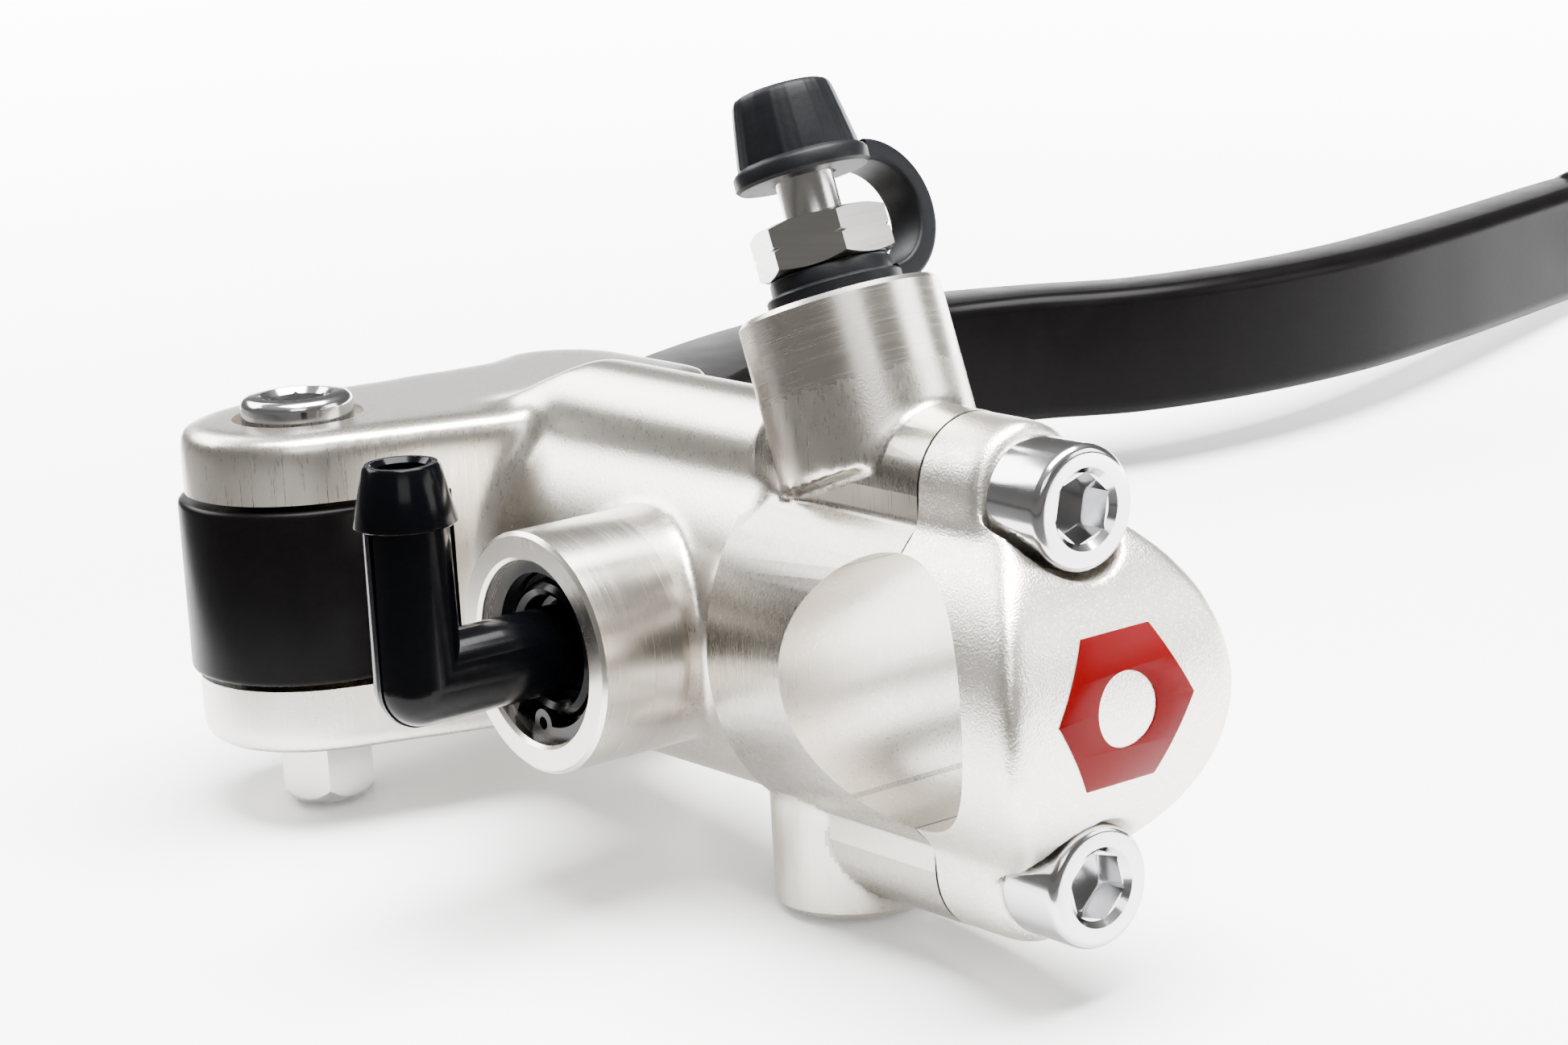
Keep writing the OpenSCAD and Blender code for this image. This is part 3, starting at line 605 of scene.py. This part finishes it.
# ---- Clamp cap --------------------------------------------------------------------------------
# Rear half of the handlebar clamp, machined with the body and then bead blasted until its
# outer edges are round. Two spot faces take the screw heads.
cap_r = 16.5 * mm
seat_y = -6.9 * mm
clamp_cap = piece("clamp_cap_shell", prism(block_outline(0.05 * mm), -18 * mm, 4 * mm, "Y"))
saddle = piece("saddle", rod((-15 * mm, 0, 0), (15 * mm, 0, 0), cap_r + 0.12 * mm, 96))
slab = bmesh.new()
bmesh.ops.create_cube(slab, size=1.0)
slab.transform(Matrix.Translation((0, seat_y + 10 * mm, 0)) @ Matrix.Diagonal((0.05, 0.02, 0.05, 1)))
combine(saddle, [slab], "UNION")
trim = clamp_cap.modifiers.new("trim", "BOOLEAN")
trim.operation = "INTERSECT"
trim.solver = "MANIFOLD"
trim.object = saddle
applied(clamp_cap)
bpy.data.objects.remove(saddle)
soften(clamp_cap, 0.5 * mm, 26)
combine(clamp_cap, [rod((0, -40 * mm, s * screw_z), (0, seat_y, s * screw_z), 5.5 * mm)
                    for s in (-1, 1)], "DIFFERENCE")
soften(clamp_cap, 0.33 * mm, 5)
inlay_w = 12 * mm
inlay_hole = 3 * mm


def inlay_outline():
    return [(inlay_w / sqrt(3) * cos(pi / 3 * k), inlay_w / sqrt(3) * sin(pi / 3 * k))
            for k in range(6)]


recess = piece("recess", prism(inlay_outline(), -20 * mm, -8 * mm, "Y"))
combine(recess, [rod((0, -21 * mm, 0), (0, -7 * mm, 0), inlay_hole),
                 rod((-30 * mm, 0, 0), (30 * mm, 0, 0), cap_r - 0.4 * mm, 192)], "DIFFERENCE")
recess_bm = bmesh.new()
recess_bm.from_mesh(recess.data)
bpy.data.objects.remove(recess)
combine(clamp_cap, [
    half_space((0, -split_y, 0), Y),
    rod((-30 * mm, 0, 0), (30 * mm, 0, 0), bar_r, 128),
    recess_bm,
] + [rod((0, -40 * mm, s * screw_z), (0, 2 * mm, s * screw_z), 3.3 * mm) for s in (-1, 1)]
    + [rod((0, -40 * mm, s * screw_z), (0, seat_y, s * screw_z), 5.3 * mm) for s in (-1, 1)],
    "DIFFERENCE")
shade(clamp_cap, 32)
# Cap nickel: coarser blast and sparkle, with the colour raised 1.3 times as painted light on its
# bright face.
nickel_blasted_lit = metal("nickel_blasted_lit", [c * 1.3 for c in nickel], 0.33, blast=0.8, sparkle=0.25)
dress(clamp_cap, nickel_blasted_lit)
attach(clamp_cap, "root")
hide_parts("clamp_cap")

# ---- Enamel inlay -----------------------------------------------------------------------------
# Red enamel poured into a shallow recess on the cap, a plain hexagonal ring with a domed edge
# that stands just proud of the blasted face.
enamel, enamel_tree, enamel_shader = new_material("red_enamel")
join = enamel_tree.links.new
enamel_place = enamel_tree.nodes.new("ShaderNodeTexCoord")
enamel_noise = enamel_tree.nodes.new("ShaderNodeTexNoise")
enamel_noise.inputs["Scale"].default_value = 350.0
enamel_noise.inputs["Detail"].default_value = 2.0
enamel_bump = enamel_tree.nodes.new("ShaderNodeBump")
enamel_bump.inputs["Strength"].default_value = 0.25
enamel_bump.inputs["Distance"].default_value = 0.0001
enamel_color = enamel_tree.nodes.new("ShaderNodeMix")
enamel_color.data_type = "RGBA"
enamel_color.inputs["A"].default_value = (0.085, 0.0, 0.0006, 1)
enamel_color.inputs["B"].default_value = (0.105, 0.0, 0.0008, 1)
join(enamel_place.outputs["Object"], enamel_noise.inputs["Vector"])
join(enamel_noise.outputs[0], enamel_bump.inputs["Height"])
join(enamel_noise.outputs[0], enamel_color.inputs["Factor"])
join(enamel_color.outputs["Result"], enamel_shader.inputs["Base Color"])
join(enamel_bump.outputs[0], enamel_shader.inputs["Normal"])
enamel_shader.inputs["Roughness"].default_value = 0.25
enamel_shader.inputs["Specular IOR Level"].default_value = 0.06
inlay = piece("cap_inlay_shell", prism(inlay_outline(), -17 * mm, -8 * mm, "Y"))
combine(inlay, [rod((0, -21 * mm, 0), (0, -7 * mm, 0), inlay_hole, 96),
                rod((-30 * mm, 0, 0), (30 * mm, 0, 0), cap_r - 0.4 * mm, 256)], "DIFFERENCE")
hoop = piece("hoop", rod((-12 * mm, 0, 0), (12 * mm, 0, 0), cap_r + 0.2 * mm, 256))
trim = inlay.modifiers.new("trim", "BOOLEAN")
trim.operation = "INTERSECT"
trim.solver = "MANIFOLD"
trim.object = hoop
applied(inlay)
bpy.data.objects.remove(hoop)


def round_edges(obj, width, segments, angle):
    step = obj.modifiers.new("round", "BEVEL")
    step.width = width
    step.segments = segments
    step.limit_method = "ANGLE"
    step.angle_limit = radians(angle)
    step.harden_normals = False
    return applied(obj)


round_edges(inlay, 0.16 * mm, 3, 50)
shade(inlay, 60)
dress(inlay, enamel)
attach(inlay, "root")
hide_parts("cap_inlay")

# ---- Clamp screws -----------------------------------------------------------------------------
# Two polished stainless M6 socket cap screws, cold headed with a rounded rim, a chamfered
# hexagon socket and a rolled thread.
steel_polished = metal("steel_polished", (0.54, 0.54, 0.55), 0.13, stretch=(500, 500, 500),
                       lines=0.03)


def hex_prism(af, low, high, turn=0.0):
    r = af / sqrt(3)
    return prism([(r * cos(pi / 3 * k + turn), r * sin(pi / 3 * k + turn)) for k in range(6)],
                 low, high)


def placed(bm, matrix):
    bm.transform(matrix)
    return bm


def socket_cutters(af, top, depth, matrix, turn=0.0):
    """Hexagon socket with a drilled bottom and a small chamfer at its mouth."""
    corner = af / sqrt(3)
    drill = turned([(0, top - depth - af * 0.28), (af / 2 * 0.98, top - depth),
                    (af / 2 * 0.98, top - depth + 0.4 * mm), (0, top - depth + 0.4 * mm)],
                   matrix, 48)
    mouth = turned([(0, top - 0.5 * mm), (corner - 0.15 * mm, top - 0.5 * mm),
                    (corner + 0.75 * mm, top + 0.4 * mm), (0, top + 0.4 * mm)], matrix, 64)
    return [placed(hex_prism(af, top - depth, top + 1 * mm, turn), matrix), drill, mouth]


head_r = 5 * mm
head_h = 6 * mm
screws = []
for side, turn in ((1, 0.3), (-1, -0.3)):
    spot = facing(-Y, (0, seat_y, side * screw_z))
    rim = arc(head_r - 0.75 * mm, head_h - 0.75 * mm, 0.75 * mm, 0, 90, 6)
    thread = []
    for k in range(9):
        low = -17.6 * mm + 1.0 * mm * k
        thread += [(2.65 * mm, low), (2.98 * mm, low + 0.5 * mm)]
    screw = piece("screw", turned(
        [(0, -18 * mm), (2.3 * mm, -18 * mm)] + thread
        + [(2.95 * mm, -8 * mm), (2.95 * mm, 0), (head_r - 0.25 * mm, 0),
           (head_r, 0.25 * mm)] + rim + [(0, head_h)], spot, 96))
    combine(screw, socket_cutters(5 * mm, head_h, 3.2 * mm, spot, turn), "DIFFERENCE")
    screws.append(screw)


def merged(name, objects, sharp=32):
    bm = bmesh.new()
    for obj in objects:
        bm.from_mesh(obj.data)
        bpy.data.objects.remove(obj)
    return piece(name, bm, True, sharp)


screws = merged("clamp_screws_polished", screws, 30)
dress(screws, steel_polished)
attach(screws, "root")
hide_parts("clamp_screws")

# ---- Pivot bolt and nut -------------------------------------------------------------------------
# Polished shoulder bolt with a low rounded head sunk a little into the upper ear, and a bright
# flanged nut below the lower ear.
bolt_top = ear_top - 0.8 * mm
at_pivot = Matrix.Translation((pivot.x, pivot.y, 0))
bolt_head_h = 2.7 * mm
dome = arc(5 * mm - 0.9 * mm, bolt_top + bolt_head_h - 0.9 * mm, 0.9 * mm, 0, 80, 6)
bolt = piece("pivot_bolt_polished", turned(
    [(0, ear_low - 6 * mm), (2.1 * mm, ear_low - 6 * mm), (2.5 * mm, ear_low - 5.6 * mm),
     (2.5 * mm, ear_low + 0.2 * mm), (3.7 * mm, ear_low + 0.2 * mm),
     (4 * mm, ear_low + 0.5 * mm), (4 * mm, bolt_top), (5 * mm, bolt_top)]
    + dome + [(0, bolt_top + bolt_head_h)], at_pivot, 96))
combine(bolt, socket_cutters(5 * mm, bolt_top + bolt_head_h, 2 * mm, at_pivot), "DIFFERENCE")
shade(bolt, 30)
dress(bolt, steel_polished)
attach(bolt, "root")
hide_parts("pivot_bolt")

steel_turned = metal("steel_turned", (0.50, 0.49, 0.47), 0.20, stretch=(60, 60, 2500), lines=0.08)
nut_low = ear_low - 6.4 * mm
nut = piece("pivot_nut_turned", placed(hex_prism(8 * mm, nut_low + 0.02 * mm, ear_low - 0.5 * mm),
                                       at_pivot))
nut_form = piece("nut_form", turned(
    [(0, nut_low), (3.2 * mm, nut_low), (4 * mm, nut_low + 0.6 * mm), (4.7 * mm, nut_low + 1.6 * mm),
     (4.7 * mm, ear_low), (0, ear_low)], at_pivot, 72))
trim = nut.modifiers.new("trim", "BOOLEAN")
trim.operation = "INTERSECT"
trim.solver = "MANIFOLD"
trim.object = nut_form
applied(nut)
bpy.data.objects.remove(nut_form)
combine(nut, [turned([(0, ear_low - 1 * mm), (4.6 * mm, ear_low - 1 * mm),
                      (5.2 * mm, ear_low - 0.5 * mm), (5.2 * mm, ear_low), (0, ear_low)],
                     at_pivot, 72)], "UNION")
combine(nut, [rod((pivot.x, pivot.y, nut_low - 1 * mm), (pivot.x, pivot.y, ear_low + 1 * mm),
                  2.52 * mm)], "DIFFERENCE")
shade(nut, 30)
dress(nut, steel_turned)
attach(nut, "root")
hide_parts("pivot_nut")

# ---- Bleed nipple -------------------------------------------------------------------------------
# Stainless bar turned and threaded: a hexagon with a groove around the middle of its corners,
# a stem, and a barb that holds the dust cap.
at_bleed = facing(bleed_axis, bleed_top)
hex_low, hex_high = 2.7 * mm, 6.8 * mm
hexagon = piece("hexagon", placed(hex_prism(10 * mm, hex_low, hex_high, radians(10)), at_bleed))
corner = 10 * mm / sqrt(3)
middle = (hex_low + hex_high) / 2
hex_form = piece("hex_form", turned(
    [(0, hex_low), (4.9 * mm, hex_low), (corner + 0.1 * mm, hex_low + 0.5 * mm),
     (corner + 0.1 * mm, middle - 0.28 * mm), (corner - 0.28 * mm, middle),
     (corner + 0.1 * mm, middle + 0.28 * mm), (corner + 0.1 * mm, hex_high - 0.4 * mm),
     (4.95 * mm, hex_high), (0, hex_high)], at_bleed, 96))
trim = hexagon.modifiers.new("trim", "BOOLEAN")
trim.operation = "INTERSECT"
trim.solver = "MANIFOLD"
trim.object = hex_form
applied(hexagon)
bpy.data.objects.remove(hex_form)
stem_r = 2.4 * mm
combine(hexagon, [turned(
    [(0, -8 * mm), (1.2 * mm, -8 * mm), (3.2 * mm, -6.4 * mm)]
    + [(r, -6.4 * mm + 0.5 * mm * (k + 1)) for k, r in enumerate((3.95 * mm, 3.6 * mm) * 7)]
    + [(3.6 * mm, hex_low + 0.2 * mm), (3.6 * mm, hex_high - 0.3 * mm), (stem_r, hex_high - 0.2 * mm),
       (stem_r, 10.2 * mm), (3.1 * mm, 11.8 * mm), (stem_r, 14.0 * mm), (stem_r, 15.2 * mm),
       (2.1 * mm, 15.5 * mm), (0, 15.5 * mm)], at_bleed, 72)], "UNION")
combine(hexagon, [turned([(0, -5 * mm), (0.9 * mm, -5 * mm), (0.9 * mm, 16 * mm), (0, 16 * mm)],
                         at_bleed, 32)], "DIFFERENCE")
shade(hexagon, 30)
hexagon.name = "bleed_nipple_turned"
dress(hexagon, steel_turned)
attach(hexagon, "nipple")
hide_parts("bleed_nipple")

# ---- Dust cap, tether ring and strap --------------------------------------------------------------
# One kind of moulded black rubber: a ribbed cone with a lip, a ring clamped by the hexagon, and a
# flat strap bent in a C between them.


def black(name, color, roughness, grain, shine=0.12, scuff=0.0):
    """Black plastic, rubber or anodised metal with fine grain and paler scuffs."""
    material, tree, shader = new_material(name)
    join = tree.links.new
    place = tree.nodes.new("ShaderNodeTexCoord")
    noise = tree.nodes.new("ShaderNodeTexNoise")
    noise.inputs["Scale"].default_value = 2500.0
    noise.inputs["Detail"].default_value = 3.0
    cloud = tree.nodes.new("ShaderNodeTexNoise")
    cloud.inputs["Scale"].default_value = 260.0
    cloud.inputs["Detail"].default_value = 6.0
    join(place.outputs["Object"], noise.inputs["Vector"])
    join(place.outputs["Object"], cloud.inputs["Vector"])
    bump = tree.nodes.new("ShaderNodeBump")
    bump.inputs["Strength"].default_value = grain
    bump.inputs["Distance"].default_value = 0.00005
    join(noise.outputs[0], bump.inputs["Height"])
    join(bump.outputs[0], shader.inputs["Normal"])
    dust = tree.nodes.new("ShaderNodeMix")
    dust.data_type = "RGBA"
    dust.inputs["A"].default_value = (*color, 1)
    dust.inputs["B"].default_value = (*[c + 0.03 * scuff for c in color], 1)
    join(cloud.outputs[0], dust.inputs["Factor"])
    join(dust.outputs["Result"], shader.inputs["Base Color"])
    spread = tree.nodes.new("ShaderNodeMapRange")
    spread.inputs["To Min"].default_value = roughness * 0.8
    spread.inputs["To Max"].default_value = roughness * 1.25
    join(cloud.outputs[0], spread.inputs["Value"])
    join(spread.outputs[0], shader.inputs["Roughness"])
    shader.inputs["Specular IOR Level"].default_value = shine
    return material


steel_black = black("steel_black", (0.003, 0.003, 0.0034), 0.3, 0.08, shine=0.2)
rubber = black("rubber", (0.0015, 0.0018, 0.0028), 0.42, 0.3, shine=0.09, scuff=0.10)
cap_low = 10.2 * mm
cap_profile = [(stem_r + 0.02 * mm, cap_low + 0.3 * mm), (stem_r + 0.3 * mm, cap_low),
               (5.35 * mm, cap_low), (5.6 * mm, cap_low + 0.25 * mm), (5.6 * mm, cap_low + 1.2 * mm),
               (5.4 * mm, cap_low + 1.5 * mm), (5.0 * mm, cap_low + 1.75 * mm),
               (4.95 * mm, cap_low + 2.2 * mm), (4.65 * mm, cap_low + 4 * mm),
               (4.3 * mm, cap_low + 6 * mm), (4.1 * mm, cap_low + 6.9 * mm),
               (3.9 * mm, cap_low + 7.3 * mm), (3.5 * mm, cap_low + 7.5 * mm),
               (0, cap_low + 7.5 * mm), (0, cap_low + 5.6 * mm),
               (stem_r + 0.02 * mm, cap_low + 5.6 * mm)]
cap_bm = turned(cap_profile + [cap_profile[0]], steps=144)
for vert in cap_bm.verts:
    reach = Vector((vert.co.x, vert.co.y, 0)).length
    if reach > 3.8 * mm and vert.co.z > cap_low + 1.7 * mm:
        angle = atan2(vert.co.y, vert.co.x)
        vert.co.xy *= 1 + 0.012 * max(0.0, cos(18 * angle)) ** 2
cap_bm.transform(at_bleed)
dust_cap = piece("dust_cap_rubber", cap_bm, True, 40)
dress(dust_cap, rubber)
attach(dust_cap, "dust_cap")
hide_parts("dust_cap")

ring = piece("tether_ring_rubber", turned(
    [(4.02 * mm, 0.02 * mm), (5.35 * mm, 0.02 * mm), (5.6 * mm, 0.25 * mm), (5.6 * mm, 1.1 * mm),
     (5.4 * mm, 1.3 * mm), (5.05 * mm, 1.4 * mm), (5.0 * mm, 2.4 * mm), (4.85 * mm, 2.62 * mm),
     (4.02 * mm, 2.62 * mm), (4.02 * mm, 0.02 * mm)], at_bleed, 96), True, 40)
dress(ring, rubber)
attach(ring, "root")
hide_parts("tether_ring")

strap_turn = radians(4)
strap_centre = Vector((5.2 * mm, 0, 6.3 * mm))
strap_path = []
for k in range(41):
    angle = radians(-84 + 168 * k / 40)
    strap_path.append((strap_centre + Vector((cos(angle), 0, sin(angle))) * 5.3 * mm,
                       Vector((cos(angle), 0, sin(angle)))))


def band(path, half_w, half_t, rounding, matrix):
    """Strap swept along a path of (point, outward) pairs, with rounded corners."""
    section = []
    for cx, cy, first in ((1, 1, 0), (-1, 1, 90), (-1, -1, 180), (1, -1, 270)):
        section += arc(cx * (half_w - rounding), cy * (half_t - rounding), rounding,
                       first, first + 90, 3)
    bm = bmesh.new()
    rings = [[bm.verts.new(point + Y * a + out * b) for a, b in section] for point, out in path]
    count = len(section)
    for low, high in zip(rings, rings[1:]):
        for k in range(count):
            bm.faces.new((low[k], low[(k + 1) % count], high[(k + 1) % count], high[k]))
    bm.faces.new(rings[0])
    bm.faces.new(list(reversed(rings[-1])))
    bm.transform(matrix)
    return bm


strap = piece("tether_strap_rubber", band(strap_path, 2 * mm, 0.9 * mm, 0.35 * mm,
                                          at_bleed @ Matrix.Rotation(strap_turn, 4, "Z")), True, 50)
dress(strap, rubber)
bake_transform(strap)
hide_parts("tether_strap")

# ---- Inlet elbow --------------------------------------------------------------------------------
# Glossy black moulded plastic: a flange with raised rings in the boss, a short leg, a sharp
# corner, an upright leg with a barbed end, and the thin seam of the mould.
plastic_black = black("plastic_black", (0.0006, 0.0007, 0.0012), 0.16, 0.05, shine=0.07, scuff=0.02)
elbow_x = -32.1 * mm
elbow_r = 3.6 * mm
inlet_y, inlet_z = inlet_centre.y, inlet_centre.z
barb_top = inlet_z + 18 * mm
elbow = piece("inlet_elbow_moulded", turned(
    [(0, -12.9 * mm), (4.75 * mm, -12.9 * mm), (4.75 * mm, -15.5 * mm), (7.7 * mm, -15.5 * mm),
     (7.7 * mm, -18.0 * mm), (7.3 * mm, -18.4 * mm), (6.5 * mm, -18.5 * mm),
     (6.3 * mm, -18.2 * mm), (5.9 * mm, -18.2 * mm), (5.6 * mm, -19.0 * mm),
     (5.1 * mm, -19.35 * mm), (4.6 * mm, -19.0 * mm), (4.4 * mm, -17.4 * mm),
     (3.9 * mm, -17.2 * mm), (elbow_r, -17.5 * mm), (elbow_r, elbow_x), (0, elbow_x)],
    facing(X, (0, inlet_y, inlet_z)), 96))
upright = Matrix.Translation((elbow_x, inlet_y, inlet_z))
corner_ball = bmesh.new()
bmesh.ops.create_uvsphere(corner_ball, u_segments=64, v_segments=32, radius=elbow_r)
corner_ball.transform(upright)
seam = prism([(elbow_x - elbow_r - 0.12 * mm, inlet_z + 12.9 * mm)]
             + arc(elbow_x, inlet_z, elbow_r + 0.12 * mm, 180, 270, 12)
             + [(-19 * mm, inlet_z - elbow_r - 0.12 * mm), (-19 * mm, inlet_z),
                (elbow_x, inlet_z), (elbow_x, inlet_z + 12.9 * mm)],
             inlet_y - 0.28 * mm, inlet_y + 0.28 * mm, "Y")
combine(elbow, [
    corner_ball,
    turned([(0, 0), (elbow_r, 0), (elbow_r - 0.1 * mm, 13 * mm), (4.05 * mm, 13 * mm),
            (4.2 * mm, 13.12 * mm), (4.2 * mm, 13.3 * mm), (3.15 * mm, 17.8 * mm),
            (2.95 * mm, 18 * mm), (0, 18 * mm)], upright, 96),
    seam,
], "UNION")
combine(elbow, [
    rod((elbow_x, inlet_y, inlet_z), (elbow_x, inlet_y, barb_top + 5 * mm), 2.1 * mm, 48),
    rod((elbow_x, inlet_y, inlet_z), (-5 * mm, inlet_y, inlet_z), 2.0 * mm, 48),
    turned([(0, 17.6 * mm), (2.1 * mm, 17.6 * mm), (2.6 * mm, 18.1 * mm), (0, 18.1 * mm)],
           upright, 48),
], "DIFFERENCE")
shade(elbow, 34)
dress(elbow, plastic_black)
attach(elbow, "elbow")
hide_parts("inlet_elbow")

# ---- Lever --------------------------------------------------------------------------------------
# Forged aluminium lever, anodised satin black: a hub between the ears, a deep flat blade with
# rounded edges that sweeps out along the bar, and a ball at its end.
lever_black = black("lever_black", (0.0015, 0.0012, 0.0014), 0.30, 0.12, shine=0.035, scuff=0.04)
lever_half = 7 * mm
lever_line = [
    (-20, 68.2, 9.5), (0, 71.8, 8.5), (20, 79, 8.6), (42, 91, 8.2), (60, 98, 7.2),
    (75, 98.5, 6), (88, 93.5, 5.2), (98, 87, 4.9), (112, 83.6, 4.6), (128, 83.4, 4.5),
    (145, 86.3, 4.4), (160, 89.8, 4.3), (175, 93.6, 4.2), (186, 96.2, 4),
]


def spline(points, steps):
    """Smooth curve through points, the same way as the lever's solid is drawn."""
    last = len(points) - 1
    out = []
    for i in range(last):
        a, b = Vector(points[max(i - 1, 0)]), Vector(points[i])
        c, d = Vector(points[i + 1]), Vector(points[min(i + 2, last)])
        for k in range(steps):
            t = k / steps
            out.append(0.5 * (2 * b + (c - a) * t + (2 * a - 5 * b + 4 * c - d) * t * t
                              + (3 * b - a - 3 * c + d) * t * t * t))
    return out + [Vector(points[-1])]


line = spline(lever_line, 8)
lever_path = []
for i, station in enumerate(line):
    ahead = line[min(i + 1, len(line) - 1)] - line[max(i - 1, 0)]
    side = Vector((-ahead.y, ahead.x, 0)).normalized()
    lever_path.append((Vector((station.x, station.y, 0)) * mm, side, station.z * mm))
blade = bmesh.new()
blade_rings = []
for point, side, half in lever_path:
    section = []
    for cx, cy, first in ((1, 1, 0), (-1, 1, 90), (-1, -1, 180), (1, -1, 270)):
        section += arc(cx * (half - 1.7 * mm), cy * (lever_half - 1.7 * mm), 1.7 * mm,
                       first, first + 90, 6)
    blade_rings.append([blade.verts.new(point + side * a + Z * (lever_z + b)) for a, b in section])
for low, high in zip(blade_rings, blade_rings[1:]):
    for k in range(len(low)):
        blade.faces.new((low[k], low[(k + 1) % len(low)], high[(k + 1) % len(low)], high[k]))
blade.faces.new(blade_rings[0])
blade.faces.new(list(reversed(blade_rings[-1])))
lever = piece("lever_blade", blade)
hub_r = 11.2 * mm
hub_half = 7.75 * mm
tip = bmesh.new()
bmesh.ops.create_uvsphere(tip, u_segments=64, v_segments=32, radius=7.8 * mm)
tip.transform(Matrix.Translation((186 * mm, 96.2 * mm, lever_z)))
at_hub = Matrix.Translation(pivot)
hub_side = arc(hub_r - 0.5 * mm, hub_half - 0.5 * mm, 0.5 * mm, 0, 90, 4)
combine(lever, [
    turned([(0, -hub_half)] + [(r, -h) for r, h in reversed(hub_side)] + hub_side
           + [(0, hub_half)], at_hub, 128),
    tip,
], "UNION")
barrel = pivot + Vector((cos(radians(8.5)), sin(radians(8.5)), 0)) * 20 * mm
cutters = [
    rod(pivot - Z * 20 * mm, pivot + Z * 20 * mm, 5.06 * mm),
    rod(barrel - Z * 20 * mm, barrel + Z * 20 * mm, 6.05 * mm),
]
for k in range(5):
    gap = prism([(-3.4 * mm, -24 * mm), (3.4 * mm, -24 * mm), (3.4 * mm, 24 * mm),
                 (-3.4 * mm, 24 * mm)], -3.4 * mm, 3.4 * mm)
    cutters.append(placed(gap, Matrix.Translation(barrel)
                          @ Matrix.Rotation(radians(17 * k / 4), 4, "Z")))
combine(lever, cutters, "DIFFERENCE")
shade(lever, 30)
dress(lever, lever_black)
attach(lever, "lever")
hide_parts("lever")

# ---- Return spring and dust boot ------------------------------------------------------------------
# The spring fills the front of the bore. The rubber boot folds
# between the bore's mouth and the piston's nose.
spring_wire = 1.4 * mm
spring_low, spring_high = bore_end_y + spring_wire / 2, 30.6 * mm - spring_wire / 2
spring_r = bore_r - 2.9 * mm
coil = bmesh.new()
coil_rings = []
turns, per_turn = 6, 36
for k in range(turns * per_turn + 1):
    angle = 2 * pi * k / per_turn
    out = Vector((cos(angle), 0, sin(angle)))
    share = min(max((k / per_turn - 0.7) / (turns - 1.4), 0), 1)
    centre = Vector((0, spring_low + (spring_high - spring_low) * share, lever_z)) + out * spring_r
    coil_rings.append([coil.verts.new(centre + (out * cos(b) + Y * sin(b)) * spring_wire / 2)
                       for b in [2 * pi * j / 12 for j in range(12)]])
for low, high in zip(coil_rings, coil_rings[1:]):
    for k in range(12):
        coil.faces.new((low[k], low[(k + 1) % 12], high[(k + 1) % 12], high[k]))
coil.faces.new(coil_rings[0])
coil.faces.new(list(reversed(coil_rings[-1])))
spring = piece("return_spring_coil", coil, True, 60)
dress(spring, steel_turned)
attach(spring, "root")
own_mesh(spring)
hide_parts("return_spring")

boot = piece("dust_boot_rubber", turned(
    [(8.0 * mm, 51.9 * mm), (9.4 * mm, 51.9 * mm), (9.4 * mm, 53.8 * mm), (8.9 * mm, 54.2 * mm),
     (8.3 * mm, 54.0 * mm), (7.9 * mm, 54.6 * mm), (7.5 * mm, 55.2 * mm), (7.2 * mm, 55.0 * mm),
     (6.9 * mm, 55.7 * mm), (6.5 * mm, 56.3 * mm), (6.4 * mm, 57.4 * mm), (6.0 * mm, 57.5 * mm),
     (4.8 * mm, 57.5 * mm), (4.8 * mm, 56.2 * mm), (5.6 * mm, 56.1 * mm), (6.2 * mm, 55.0 * mm),
     (6.6 * mm, 54.3 * mm), (7.3 * mm, 53.6 * mm), (7.9 * mm, 53.1 * mm), (8.0 * mm, 51.9 * mm)],
    facing(Y, (0, 0, lever_z)), 96), True, 40)
dress(boot, rubber)
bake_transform(boot)
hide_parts("dust_boot")

# ---- Parts carried over from the frame ------------------------------------------------------------
# Turned, stamped and moulded inner parts keep their solids, with slightly broken edges and
# their own finishes.
bronze = metal("bronze", (0.60, 0.42, 0.20), 0.35, stretch=(60, 60, 2500), lines=0.1)
alloy_hard = metal("alloy_hard", (0.42, 0.40, 0.33), 0.36, blast=0.2)


def dress_node(name, material, width=0.0):
    node = nodes[name]
    node.data.materials.clear()
    node.data.materials.append(material)
    if width > 0:
        step = node.modifiers.new("broken_edges", "BEVEL")
        step.width = width
        step.segments = 2
        step.limit_method = "ANGLE"
        step.angle_limit = radians(40)


for name in ("pushrod", "barrel_nut", "stop_washer"):
    dress_node(name, steel_turned, 0.15 * mm)
for name in ("inlet_circlip", "piston_circlip"):
    dress_node(name, steel_black, 0.1 * mm)
for name in ("pivot_bush", "pivot_shims"):
    dress_node(name, bronze)
for name in ("piston", "spring_seat"):
    dress_node(name, alloy_hard, 0.15 * mm)
for name in ("primary_cup", "secondary_cup", "inlet_oring"):
    dress_node(name, rubber, 0.2 * mm)
dress_node("adjuster_knob", lever_black, 0.2 * mm)
